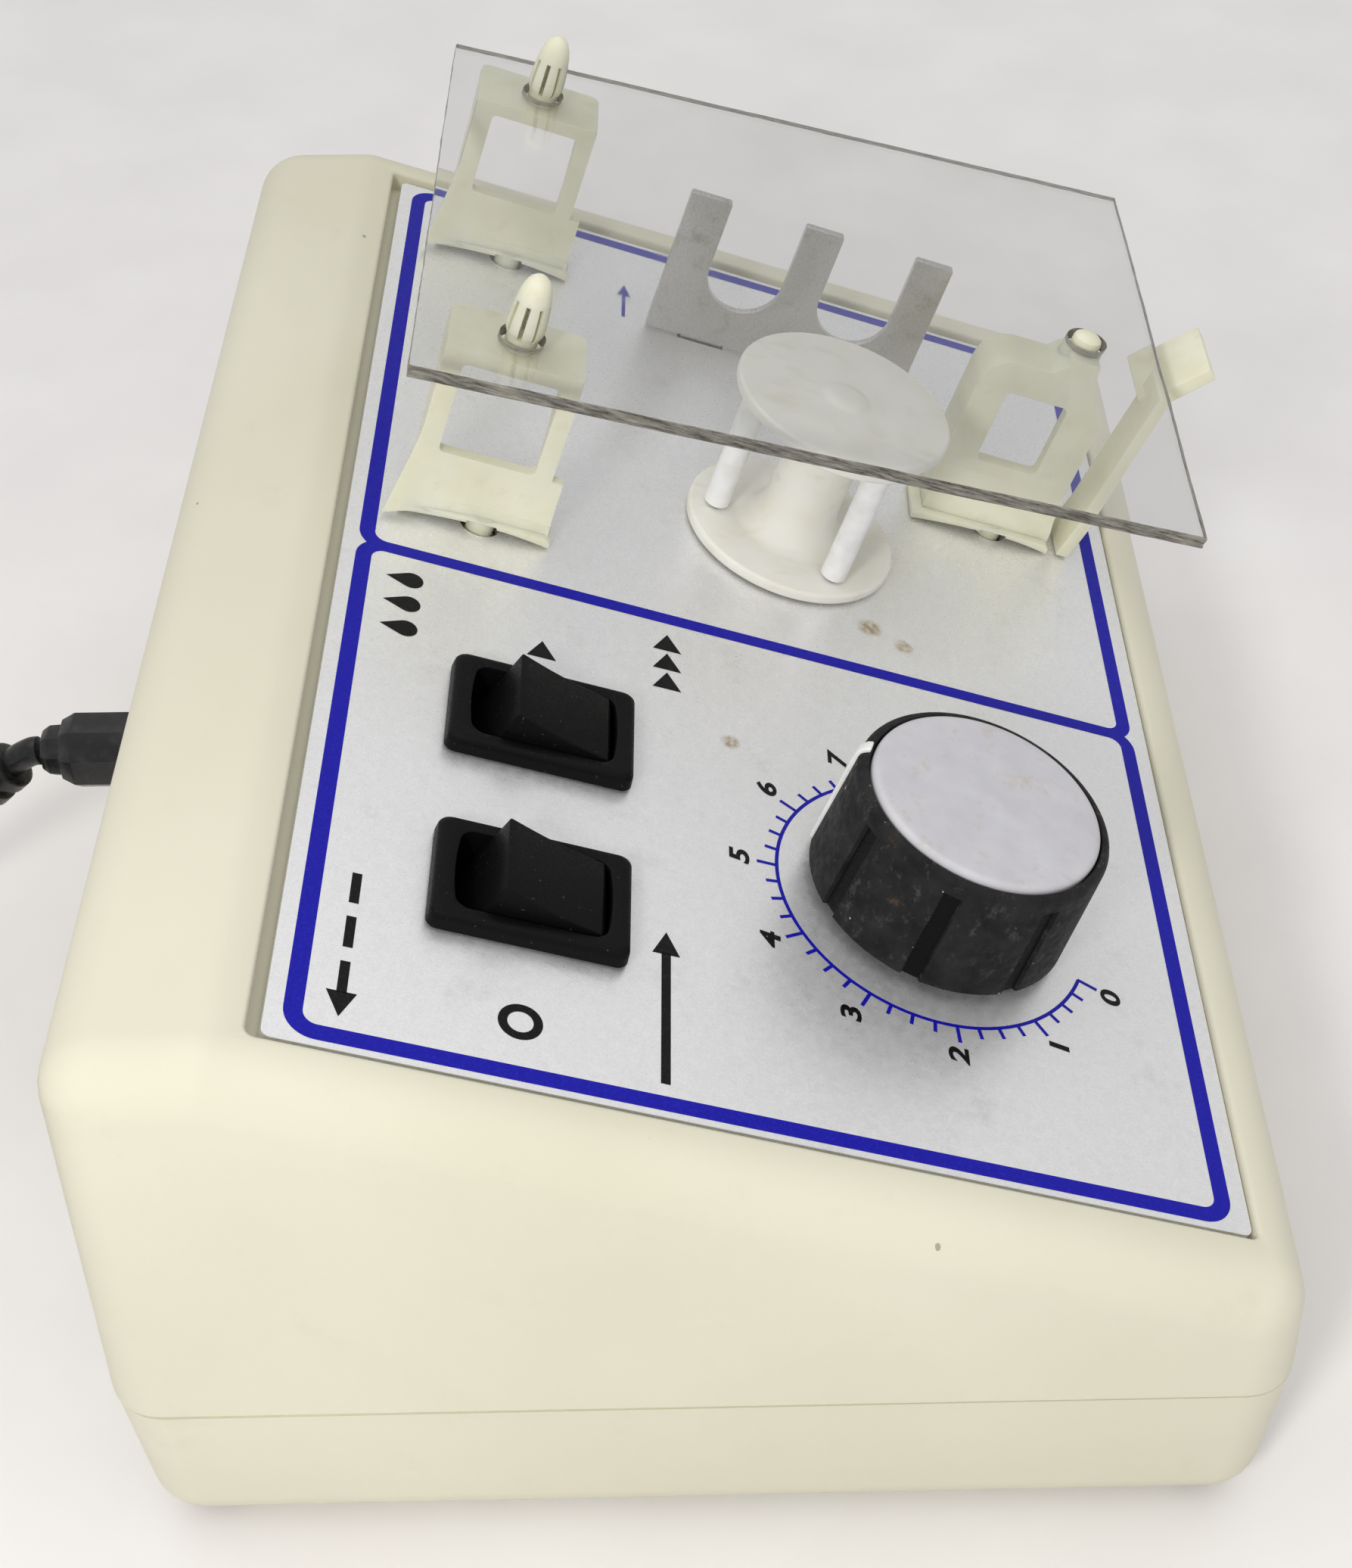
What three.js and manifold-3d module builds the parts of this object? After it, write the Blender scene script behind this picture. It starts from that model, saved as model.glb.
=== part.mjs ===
// Benchtop peristaltic pump in a sloping plastic case: a geared motor under the control panel turns a
// three-roller rotor that squeezes tubing held by a slotted steel comb, below a clear push-on cover.
// Millimetres, +X to the user's right, +Y to the rear, +Z up, origin under the middle of the case.
import * as THREE from 'three';
import { mergeVertices } from 'three/addons/utils/BufferGeometryUtils.js';
import Module from 'manifold-3d';

const wasm = await Module();
wasm.setup();

// ---------------------------------------------------------------- driving dimensions
const GAP = 0.3;                  // air kept between pieces that touch
const RUNNING = 0.1;              // radial clearance of turning fits

// Case
const CASE_W = 180;
const CASE_D = 125;
const CASE_BOTTOM = 1.5;          // underside of the base pan, above the bench
const SEAM_Z = 24.5;
const CASE_TOP = 75.8;
const WALL = 2.5;
const EDGE_R = 6;
const UPPER_DRAFT = 1.75;         // degrees
const LOWER_DRAFT = 4;
const SLOPE = 19;                 // tilt of the control panel, degrees
const PANEL_ORIGIN = [-41.9, -25.7, 50.6];   // dial centre on the panel's face
const SLOPE_PROUD = 0.8;          // case surface above the panel's face
const SLOPE_V = [-37.7, 75.1];    // front and rear edges of the sloping face
const FASTENER_AT = [82, 54.5];   // case screws, from the middle
const FOOT_AT = [70, 46];
const FOOT_R = 6;

// Control panel, in its own axes: u to the right, v up the slope, w out of the face
const PANEL_U = [-38.9, 122.3];
const PANEL_V = [-32.3, 70.1];
const PANEL_T = 1.6;
const PANEL_RIM = 0.8;            // recess around the panel
const PANEL_REAR_RIM = 1.4;
const LEDGE = 4.5;                // width of the ledge that the panel rests on
const LEDGE_T = 2.4;

// Rocker switches
const BEZEL_U = 15;
const BEZEL_V = 21;
const BEZEL_H = 2;
const SWITCH_V = 45.6;
const SPEED_U = 13.1;
const DIRECTION_U = -13.5;
const ROCKER_PIVOT_W = -2;
const ROCKER_RIDGE = 7.6;         // ridge height above the pivot
const ROCKER_HALF = 7.4;
const ROCKER_FACE = 37;           // slope of each face in the middle position, degrees
const ROCKER_REST = 23;           // rear end pressed in

// Speed knob, on the potentiometer at the panel's origin
const KNOB_BASE_R = 15.2;
const KNOB_TOP_R = 14.6;
const KNOB_BOTTOM = 1.6;
const KNOB_SHOULDER = 14.7;
const CAP_R = 13.2;
const CAP_TOP = 16.4;
const POINTER_CLOCK = 17.5;       // pointer between marks 5 and 6, degrees clockwise from up the slope
const GRIP_COUNT = 8;             // evenly spaced flank grooves, the pointer's slot among them
const GRIP_W = 2;
const GRIP_DEPTH = 0.45;

// Rotor and gear train
const ROTOR_AT = [62.1, 14.8];
const DISC_R = 13.8;
const DISC_T = 1.5;
const BASE_DISC_TOP = 1.8;
const TOP_DISC_TOP = 20.7;
const HUB_R = 4.75;
const ROLLER_R = 1.65;
const ROLLER_CIRCLE = 10.3;
const ROLLER_ANGLES = [89, 209, 329];
const PIN_R = 0.75;
const SHAFT_R = 2.5;
const MODULE = 0.7;
const SMALL_TEETH = 12;
const LARGE_TEETH = 36;
const GEAR_CENTRES = MODULE * (SMALL_TEETH + LARGE_TEETH) / 2;
const UPPER_PLATE_W = [-3.4, -1.9];
const LOWER_PLATE_W = [-21.5, -20];
const UPPER_GEAR_W = [-10.5, -7.5];
const LOWER_GEAR_W = [-16.5, -13.5];
const MOTOR_R = 12;
const MOTOR_LENGTH = 20;

// Clear cover and what carries it
const COVER_T = 1.6;
const COVER_REAR = { v: 68.3, w: 22.9 };    // top edge, at the rear
const COVER_FRONT = { v: -27, w: 29.3 };    // top edge, at the front
const COVER_U = [40.8, 120.9];
const COVER_FRONT_RIGHT = 123.2;
const COVER_HOLE_R = 2.7;
const SNAP_STEM_R = 1.9;
const SNAP_HEAD_R = 2.3;
const REAR_SNAP = [52.1, 55.8];
const REAR_PITCH = 60.5;          // left support to right support
const FRONT_PEG = [80.9, -16.9];
const LEVER_U = [74, 81];
const LEVER_TAB_U = [78.4, 89];

// Tube-holding comb
const COMB_U = 101.6;
const COMB_T = 1.2;
const COMB_V = [-2.8, 34.5];
const COMB_TOP = 21.2;
const COMB_SLOT_R = 5.2;
const COMB_PITCH = 15.8;

// Power plug, cord and wall adapter
const JACK = { x: -3, z: 41 };
const REAR_FACE_Y = 62;           // rear wall at the jack's height
const PLUG_END_Y = 81.5;
const PLUG_FLATS = 9;
const CORD_R = 1.8;
const COIL_R = 21;
const COIL_TURNS_ACROSS = 4;
const COIL_LAYERS = 3;
const COIL_AT = [-46, 133];
const TABLE_GAP = 0.05;

// ---------------------------------------------------------------- materials
const finish = (color, roughness, metalness = 0) =>
  new THREE.MeshStandardMaterial({ color, roughness, metalness });
const ivory = finish(0xdedac4, 0.6);
const silver = finish(0xb9b9bd, 0.45, 0.6);
const nylon = finish(0xe6e3c4, 0.5);
const acetal = finish(0xf1f0ea, 0.4);
const black = finish(0x17171a, 0.5);
const charcoal = finish(0x2c2c30, 0.65);
const paleGrey = finish(0xc9c9d0, 0.5);
const white = finish(0xf4f4f4, 0.5);
const steel = finish(0x9a9a9c, 0.35, 0.9);
const brass = finish(0xb8974a, 0.4, 0.9);
const clear = finish(0xd8dedd, 0.1);
const rubber = finish(0x242424, 0.9);
const green = finish(0x2c6a3c, 0.6);
const blue = finish(0x27408b, 0.4);

// ---------------------------------------------------------------- shape tools
const radians = THREE.MathUtils.degToRad;

function toSolid(geometry) {
  const bare = geometry.clone();
  for (const name of ['normal', 'uv', 'color']) {
    bare.deleteAttribute(name);
  }
  const merged = mergeVertices(bare, 1e-4);
  return new wasm.Manifold(new wasm.Mesh({
    numProp: 3,
    vertProperties: new Float32Array(merged.attributes.position.array),
    triVerts: new Uint32Array(merged.index.array),
  }));
}

function toGeometry(solid) {
  const mesh = solid.getMesh();
  const geometry = new THREE.BufferGeometry();
  geometry.setAttribute('position', new THREE.BufferAttribute(mesh.vertProperties, 3));
  geometry.setIndex(new THREE.BufferAttribute(mesh.triVerts, 1));
  geometry.computeVertexNormals();
  return geometry;
}

const union = (...solids) => solids.reduce((sum, solid) => sum.add(solid));
const without = (solid, ...cuts) => cuts.reduce((rest, cut) => rest.subtract(cut), solid);

function block([x0, x1], [y0, y1], [z0, z1]) {
  const geometry = new THREE.BoxGeometry(x1 - x0, y1 - y0, z1 - z0);
  return toSolid(geometry.translate((x0 + x1) / 2, (y0 + y1) / 2, (z0 + z1) / 2));
}

// A turned shape about the Z axis at (x, y); profile is a list of [radius, z] from axis to axis.
function turned(profile, sides = 24, x = 0, y = 0) {
  const points = profile.map(([r, z]) => new THREE.Vector2(r, z));
  const geometry = new THREE.LatheGeometry(points, sides).rotateX(Math.PI / 2);
  return toSolid(geometry.translate(x, y, 0));
}

const rod = (r, z0, z1, sides = 24, x = 0, y = 0) =>
  turned([[0, z0], [r, z0], [r, z1], [0, z1]], sides, x, y);
const tube = (inner, outer, z0, z1, sides = 24, x = 0, y = 0) =>
  turned([[inner, z0], [outer, z0], [outer, z1], [inner, z1], [inner, z0]], sides, x, y);

const toShape = (outline) => new THREE.Shape(outline.map(([a, b]) => new THREE.Vector2(a, b)));

function extruded(shape, depth) {
  return new THREE.ExtrudeGeometry(shape, { depth, bevelEnabled: false });
}

// A prism over an outline in X and Y.
function prism(outline, z0, z1) {
  return toSolid(extruded(toShape(outline), z1 - z0).translate(0, 0, z0));
}

// A prism over an outline given as [y, z] points, running along X from x0 to x1.
function prismAlongX(outline, x0, x1) {
  return toSolid(extruded(toShape(outline), x1 - x0).applyMatrix4(yzToWorld()).translate(x0, 0, 0));
}

// A prism over an outline given as [x, z] points, running along Y from y0 to y1.
function prismAlongY(outline, y0, y1) {
  return toSolid(extruded(toShape(outline), y1 - y0).rotateX(Math.PI / 2).translate(0, y1, 0));
}

// Turns a shape drawn in XY and extruded along Z so that it lies in YZ and runs along X.
function yzToWorld() {
  return new THREE.Matrix4().makeBasis(
    new THREE.Vector3(0, 1, 0), new THREE.Vector3(0, 0, 1), new THREE.Vector3(1, 0, 0));
}

// The outline through the corners, each rounded by a true arc of its radius.
function rounded(corners, radius, steps = 4) {
  const outline = [];
  corners.forEach((corner, i) => {
    const here = new THREE.Vector2(...corner);
    const back = new THREE.Vector2(...corners.at(i - 1)).sub(here).normalize();
    const ahead = new THREE.Vector2(...corners[(i + 1) % corners.length]).sub(here).normalize();
    const half = Math.acos(THREE.MathUtils.clamp(back.dot(ahead), -1, 1)) / 2;
    const bisector = back.clone().add(ahead).normalize();
    const centre = here.clone().addScaledVector(bisector, radius / Math.sin(half));
    const from = here.clone().addScaledVector(back, radius / Math.tan(half)).sub(centre);
    const sweep = (Math.PI - 2 * half) * Math.sign(ahead.cross(back));
    for (let k = 0; k <= steps; k += 1) {
      const swung = from.clone().rotateAround(new THREE.Vector2(), (sweep * k) / steps);
      outline.push(swung.add(centre).toArray());
    }
  });
  return outline;
}

function roundedBlock([x0, x1], [y0, y1], [z0, z1], radius) {
  return prism(rounded([[x0, y0], [x1, y0], [x1, y1], [x0, y1]], radius), z0, z1);
}

// ---------------------------------------------------------------- the object's groups
const pump = new THREE.Group();
const panel = new THREE.Group();
panel.position.set(...PANEL_ORIGIN);
panel.rotation.x = radians(SLOPE);
pump.add(panel);

function piece(group, name, solid, material) {
  const mesh = new THREE.Mesh(toGeometry(solid), material);
  mesh.name = name;
  group.add(mesh);
}

const inCase = (solid) => solid.rotate([SLOPE, 0, 0]).translate(PANEL_ORIGIN);

function slopePoint(v, w) {
  const c = Math.cos(radians(SLOPE));
  const s = Math.sin(radians(SLOPE));
  return [v * c - w * s + PANEL_ORIGIN[1], v * s + w * c + PANEL_ORIGIN[2]];
}

// ---------------------------------------------------------------- case
// One half of the case as a solid: its side profile extruded across the width with rounded edges,
// then drawn in towards the top or the bottom. Shrink gives the inside of the wall.
function caseForm(corners, draft, shrink = 0) {
  const shape = toShape(rounded(corners, EDGE_R + GAP));
  const geometry = new THREE.ExtrudeGeometry(shape, {
    depth: CASE_W - 2 * EDGE_R,
    bevelThickness: EDGE_R - shrink,
    bevelSize: EDGE_R - shrink,
    bevelOffset: -EDGE_R,
    bevelSegments: 3,
  });
  geometry.translate(0, 0, EDGE_R - CASE_W / 2).applyMatrix4(yzToWorld());
  const position = geometry.attributes.position;
  const taper = Math.tan(radians(draft)) / (CASE_W / 2);
  for (let i = 0; i < position.count; i += 1) {
    const away = draft === LOWER_DRAFT ? SEAM_Z - position.getZ(i) : position.getZ(i) - SEAM_Z;
    position.setX(i, position.getX(i) * (1 - taper * away));
  }
  return toSolid(geometry);
}

// A point on the front (side -1) or rear (side 1) wall line at height z.
function wallPoint(side, z, draft) {
  const away = draft === LOWER_DRAFT ? SEAM_Z - z : z - SEAM_Z;
  return [side * (CASE_D / 2 - Math.tan(radians(draft)) * away), z];
}

const OVERRUN = 14;               // the forms run past the seam, where they are cut
const upperCorners = [
  wallPoint(-1, SEAM_Z - OVERRUN, UPPER_DRAFT),
  wallPoint(1, SEAM_Z - OVERRUN, UPPER_DRAFT),
  wallPoint(1, CASE_TOP, UPPER_DRAFT),
  slopePoint(SLOPE_V[1], SLOPE_PROUD),
  slopePoint(SLOPE_V[0], SLOPE_PROUD),
];
const lowerCorners = [
  wallPoint(-1, CASE_BOTTOM, LOWER_DRAFT),
  wallPoint(1, CASE_BOTTOM, LOWER_DRAFT),
  wallPoint(1, SEAM_Z + OVERRUN, LOWER_DRAFT),
  wallPoint(-1, SEAM_Z + OVERRUN, LOWER_DRAFT),
];
const FAR = 200;
const aboveSeam = block([-FAR, FAR], [-FAR, FAR], [SEAM_Z + GAP / 2, FAR]);
const belowSeam = block([-FAR, FAR], [-FAR, FAR], [-FAR, SEAM_Z - GAP / 2]);

const corners = [[-1, -1], [1, -1], [-1, 1], [1, 1]];
const cornerNames = ['front_left', 'front_right', 'rear_left', 'rear_right'];
const BOSS_R = 4;
const SCREW_TOP = 34;
const HEAD_SEAT = 5.2;
const HEAD_R = 3;
const SHANK_R = 1.4;

function basePan() {
  const outer = caseForm(lowerCorners, LOWER_DRAFT);
  let pan = outer.subtract(caseForm(lowerCorners, LOWER_DRAFT, WALL)).intersect(belowSeam);
  for (const [sx, sy] of corners) {
    const [x, y] = [sx * FASTENER_AT[0], sy * FASTENER_AT[1]];
    const boss = rod(BOSS_R, CASE_BOTTOM + 1, SEAM_Z - GAP / 2, 20, x, y).intersect(outer);
    const bore = rod(SHANK_R + GAP, 0, SEAM_Z + 1, 12, x, y);
    const seat = rod(HEAD_R + GAP, 0, HEAD_SEAT, 16, x, y);
    const recess = rod(FOOT_R + GAP, 0, CASE_BOTTOM + 1, 24, sx * FOOT_AT[0], sy * FOOT_AT[1]);
    pan = without(pan.add(boss), bore, seat, recess);
  }
  for (const [x, y] of BOARD_POSTS) {
    pan = pan.add(rod(2, CASE_BOTTOM + WALL - 0.5, BOARD_Z - GAP, 12, x, y));
  }
  return pan;
}

function topCover() {
  const outer = caseForm(upperCorners, UPPER_DRAFT);
  const inner = caseForm(upperCorners, UPPER_DRAFT, WALL);
  const [u0, u1] = [PANEL_U[0] - PANEL_RIM, PANEL_U[1] + PANEL_RIM];
  const [v0, v1] = [PANEL_V[0] - GAP, PANEL_V[1] + PANEL_REAR_RIM];
  const under = -PANEL_T - GAP;
  const ledge = inCase(block([u0 - WALL, u1 + WALL], [v0 - WALL, v1 + WALL], [under - LEDGE_T, 0]))
    .intersect(outer);
  let cover = outer.subtract(inner).intersect(aboveSeam).add(ledge);
  for (const [sx, sy] of corners) {
    const [x, y] = [sx * FASTENER_AT[0], sy * FASTENER_AT[1]];
    const height = [SEAM_Z + GAP / 2, SCREW_TOP + 2];
    const boss = rod(BOSS_R, ...height, 16, x, y);
    const web = block([Math.min(x, 1.1 * x), Math.max(x, 1.1 * x)], [y - 1, y + 1], height);
    cover = cover.add(boss.add(web).intersect(outer));
    cover = cover.subtract(rod(SHANK_R + GAP, SEAM_Z - 1, SCREW_TOP + GAP, 12, x, y));
  }
  const recess = inCase(roundedBlock([u0, u1], [v0, v1], [under, 12], 1));
  const opening = inCase(block([u0 + LEDGE, u1 - LEDGE], [v0 + LEDGE, v1 - LEDGE], [-14, 2]));
  const jackHole = rod(JACK_R + GAP, -12, 12).rotate([90, 0, 0]).translate([JACK.x, REAR_FACE_Y, JACK.z]);
  return without(cover, recess, opening, jackHole);
}

function foot() {
  return turned([[0, 0], [FOOT_R - 0.5, 0], [FOOT_R, 0.5], [FOOT_R, CASE_BOTTOM + 0.7],
    [0, CASE_BOTTOM + 0.7]]);
}

function caseScrew() {
  const head = turned([[0, 2.6], [HEAD_R - 0.5, 2.6], [HEAD_R, 3.2], [HEAD_R, HEAD_SEAT - GAP],
    [SHANK_R, HEAD_SEAT - GAP], [SHANK_R, SCREW_TOP - 1.5], [0, SCREW_TOP]], 12);
  const slot = block([-HEAD_R, HEAD_R], [-0.4, 0.4], [2, 3.4]);
  return head.subtract(slot);
}

// ---------------------------------------------------------------- inside the case
const BOARD = { x: [-74, -22], y: [0, 44] };
const BOARD_Z = 9;
const BOARD_T = 1.6;
const BOARD_POSTS = [[-70, 4], [-26, 4], [-70, 40], [-26, 40]];

function circuitBoard() {
  const board = block(BOARD.x, BOARD.y, [BOARD_Z, BOARD_Z + BOARD_T]);
  const top = BOARD_Z + BOARD_T;
  const parts = [
    block([-68, -58], [28, 34], [top - 0.2, top + 8]),
    block([-52, -44], [8, 12], [top - 0.2, top + 6]),
    block([-40, -30], [28, 31], [top - 0.2, top + 12]),
    rod(2.2, top - 0.2, top + 5, 12, -62, 12),
    rod(2.2, top - 0.2, top + 5, 12, -62, 20),
  ];
  return union(board, ...parts);
}

const CAPACITOR = { x: -38, y: 18, r: 5, height: 16 };

function capacitor() {
  const z = BOARD_Z + BOARD_T + GAP;
  const { r, height } = CAPACITOR;
  return turned([[0, z], [r, z], [r, z + 1.4], [r - 0.4, z + 1.8], [r, z + 2.2], [r, z + height - 0.4],
    [r - 0.5, z + height], [0, z + height]], 20, CAPACITOR.x, CAPACITOR.y);
}

// ---------------------------------------------------------------- control panel
function snapHole(u, v) {
  return rod(SNAP_HOLE_R, -4, 4, 20, u, v);
}

function frontPanel() {
  const cornerR = 1;
  const plate = roundedBlock(PANEL_U, PANEL_V, [-PANEL_T, 0], cornerR);
  const cutouts = [SPEED_U, DIRECTION_U].map((u) =>
    block([u - SWITCH_BODY_U / 2 - GAP, u + SWITCH_BODY_U / 2 + GAP],
      [SWITCH_V - SWITCH_BODY_V / 2 - GAP, SWITCH_V + SWITCH_BODY_V / 2 + GAP], [-4, 4]));
  const slots = COMB_TABS.map(([v0, v1]) =>
    block([COMB_U - COMB_T / 2 - GAP, COMB_U + COMB_T / 2 + GAP], [v0 - GAP, v1 + GAP], [-4, 4]));
  return without(plate, ...cutouts, ...slots,
    rod(BUSH_R + GAP, -4, 4, 24),
    rod(SHAFT_R + 1, -4, 4, 24, ...ROTOR_AT),
    snapHole(...rearAnchor(0)), snapHole(...rearAnchor(REAR_PITCH)), snapHole(...FRONT_ANCHOR));
}

// ---------------------------------------------------------------- rocker switches
const SWITCH_BODY_U = 13;
const SWITCH_BODY_V = 19.2;
const SWITCH_DEPTH = 13;
const WINDOW_U = 11;
const WINDOW_V = 15.9;
const WELL_FLOOR = -11;

function switchBody(u) {
  const across = (width, centre) => [centre - width / 2, centre + width / 2];
  const bezelR = 1.2;
  const bezel = roundedBlock(across(BEZEL_U, u), across(BEZEL_V, SWITCH_V), [GAP, BEZEL_H + GAP], bezelR);
  const trimW = BEZEL_H - 0.3;      // height at which the bezel's slanted edges start
  const trims = [-1, 1].flatMap((side) => [
    block([-12, 12], [0, 4], [0, 4]).rotate([45, 0, 0])
      .translate([u, SWITCH_V + side * BEZEL_V / 2, trimW]),
    block([0, 4], [-14, 14], [0, 4]).rotate([0, -45, 0])
      .translate([u + side * BEZEL_U / 2, SWITCH_V, trimW]),
  ]);
  const body = block(across(SWITCH_BODY_U, u), across(SWITCH_BODY_V, SWITCH_V), [-SWITCH_DEPTH, GAP + 0.2]);
  const terminals = [-6, 0, 6].map((v) =>
    block(across(0.8, u), across(4.8, SWITCH_V + v), [-SWITCH_DEPTH - 7, -SWITCH_DEPTH + 0.2]));
  const well = block(across(WINDOW_U, u), across(WINDOW_V, SWITCH_V), [WELL_FLOOR, 6]);
  return without(union(bezel, body, ...terminals), well, ...trims);
}

// The rocker about its pivot: two faces that meet in a ridge, ends curved about the pivot.
function rocker() {
  const drop = ROCKER_HALF * Math.tan(radians(ROCKER_FACE));
  const top = ROCKER_RIDGE - drop;
  const endR = Math.hypot(ROCKER_HALF, top);
  const end = (degrees) => [endR * Math.cos(radians(degrees)), endR * Math.sin(radians(degrees))];
  const start = THREE.MathUtils.radToDeg(Math.atan2(top, ROCKER_HALF));
  const angles = [start, start / 2, 0, -10, -20];
  const rear = angles.map(end);
  const front = angles.map(end).reverse().map(([y, z]) => [-y, z]);
  const outline = [[0, ROCKER_RIDGE], ...front.reverse(), ...rear.reverse()];
  const half = WINDOW_U / 2 - GAP;
  return prismAlongX(outline, -half, half).rotate([-ROCKER_REST, 0, 0]);
}

// ---------------------------------------------------------------- potentiometer and knob
const BUSH_R = 4.4;
const POT_SHAFT_R = 2.9;

function potBody() {
  const can = turned([[0, -12], [8, -12], [8.5, -11.5], [8.5, -2.2], [BUSH_R, -2.2], [BUSH_R, 4.2],
    [POT_SHAFT_R + RUNNING, 4.2], [POT_SHAFT_R + RUNNING, -5], [0, -5]], 32);
  const lugs = [-4, 0, 4].map((x) => block([x - 0.9, x + 0.9], [-13, -6], [-9, -8.2]));
  return union(can, ...lugs);
}

function potNut() {
  const hex = new THREE.CylinderGeometry(6.9, 6.9, 2, 6).rotateX(Math.PI / 2);
  return toSolid(hex.translate(0, 0, 1 + GAP)).subtract(rod(BUSH_R + GAP, -1, 5));
}

function potShaft() {
  const shaft = rod(POT_SHAFT_R, -4.6, 12.4);
  const flat = block([-4, 4], [1.9, 4], [5, 13]);
  return shaft.subtract(flat);
}

function onKnob(solid) {
  return solid.rotate([0, 0, -POINTER_CLOCK]);
}

// A skirted shell on a hub, with a shallow seat on top for the cap.
function knobBody() {
  const boreR = POT_SHAFT_R + GAP;
  const boreTop = 12.8;
  const hub = { r: 5.5, bottom: 4.8 };
  const roof = 12;                // underside of the knob's top, inside the skirt
  const skirtR = [12.4, 12.8];    // inside of the skirt, at the roof and at the bottom
  const seatR = CAP_R + GAP - 0.1;
  const rimTop = KNOB_SHOULDER + 1.1;
  const profile = [[0, boreTop], [boreR, boreTop], [boreR, hub.bottom], [hub.r, hub.bottom], [hub.r, roof],
    [skirtR[0], roof], [skirtR[1], KNOB_BOTTOM], [KNOB_BASE_R, KNOB_BOTTOM], [KNOB_TOP_R, KNOB_SHOULDER],
    [KNOB_TOP_R - 0.9, rimTop], [seatR, rimTop], [seatR, KNOB_SHOULDER], [0, KNOB_SHOULDER]];
  let body = turned(profile, 48);
  const flankLean = THREE.MathUtils.radToDeg(
    Math.atan2(KNOB_BASE_R - KNOB_TOP_R, KNOB_SHOULDER - KNOB_BOTTOM));
  const groove = block([-GRIP_W / 2, GRIP_W / 2], [-GRIP_DEPTH, 3], [-2, KNOB_SHOULDER - KNOB_BOTTOM - 1])
    .rotate([flankLean, 0, 0])
    .translate([0, KNOB_BASE_R, KNOB_BOTTOM]);
  for (let k = 1; k < GRIP_COUNT; k += 1) {
    body = body.subtract(groove.rotate([0, 0, (360 / GRIP_COUNT) * k]));
  }
  const slot = block([-1.1, 1.1], [CAP_R + 0.8, 18], [KNOB_BOTTOM - 1, 20]);
  return onKnob(body.subtract(slot));
}

function knobCap() {
  const z = KNOB_SHOULDER + GAP;
  const r = CAP_R - 0.1;
  return turned([[0, z], [r, z], [r, CAP_TOP - 0.5], [r - 0.6, CAP_TOP - 0.1], [0, CAP_TOP]], 64);
}

function knobPointer() {
  const outline = [[CAP_R + 1.1, KNOB_BOTTOM + 0.2], [KNOB_BASE_R + 0.3, KNOB_BOTTOM + 0.2],
    [KNOB_TOP_R + 0.4, KNOB_SHOULDER], [KNOB_TOP_R - 0.4, CAP_TOP - 0.1], [CAP_R + 0.3, CAP_TOP - 0.1],
    [CAP_R + 0.3, KNOB_SHOULDER + 1.4], [CAP_R + 1.1, KNOB_SHOULDER + 1.4]];
  return onKnob(prismAlongX(outline, -0.8, 0.8));
}

// ---------------------------------------------------------------- rotor and rollers
const SHAFT_TOP = 15.5;
const rollerAt = (degrees) => [
  ROLLER_CIRCLE * Math.cos(radians(degrees)),
  ROLLER_CIRCLE * Math.sin(radians(degrees)),
];

// The chamfered edge of a rotor disc, from its underside to its upper face.
const discRim = (under, top) =>
  [[DISC_R - 0.3, under], [DISC_R, under + 0.3], [DISC_R, top - 0.3], [DISC_R - 0.3, top]];

function rotorBase() {
  const fillet = [];
  for (let k = 0; k <= 4; k += 1) {
    const a = radians(90 * k / 4);
    fillet.push([HUB_R + 3.2 * (1 - Math.sin(a)), BASE_DISC_TOP + 5 * (1 - Math.cos(a))]);
  }
  const bottom = BASE_DISC_TOP - DISC_T;
  const top = TOP_DISC_TOP - DISC_T - GAP;
  const bore = SHAFT_R + GAP;
  const body = turned([[bore, bottom], ...discRim(bottom, BASE_DISC_TOP), ...fillet, [HUB_R, top],
    [bore, top], [bore, bottom]], 36);
  const pinHoles = ROLLER_ANGLES.map((a) => rod(PIN_R + GAP, bottom + 0.4, 4, 12, ...rollerAt(a)));
  return without(body, ...pinHoles);
}

function rotorTop() {
  const under = TOP_DISC_TOP - DISC_T;
  const spigot = SHAFT_R - GAP;
  const top = turned([[0, SHAFT_TOP + 1], [spigot, SHAFT_TOP + 1], [spigot, under],
    ...discRim(under, TOP_DISC_TOP), [2.6, TOP_DISC_TOP], [2.2, TOP_DISC_TOP + 0.3],
    [0, TOP_DISC_TOP + 0.5]], 36);
  const pinHoles = ROLLER_ANGLES.map((a) => rod(PIN_R + GAP, under - 1, under + 1, 12, ...rollerAt(a)));
  return without(top, ...pinHoles);
}

const rollerPin = () => rod(PIN_R, BASE_DISC_TOP - DISC_T + 0.7, TOP_DISC_TOP - DISC_T + 0.7, 12);
const roller = () => tube(PIN_R + RUNNING, ROLLER_R, BASE_DISC_TOP + GAP, TOP_DISC_TOP - DISC_T - GAP, 16);

// ---------------------------------------------------------------- gear train
function gearOutline(teeth, phase) {
  const pitchR = (MODULE * teeth) / 2;
  const rootR = pitchR - 1.15 * MODULE;
  const tipR = pitchR + 0.8 * MODULE;
  const step = (2 * Math.PI) / teeth;
  const outline = [];
  for (let k = 0; k < teeth; k += 1) {
    for (const [r, share] of [[rootR, -0.29], [tipR, -0.1], [tipR, 0.1], [rootR, 0.29]]) {
      const a = step * (k + share) + radians(phase);
      outline.push([r * Math.cos(a), r * Math.sin(a)]);
    }
  }
  return outline;
}

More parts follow.
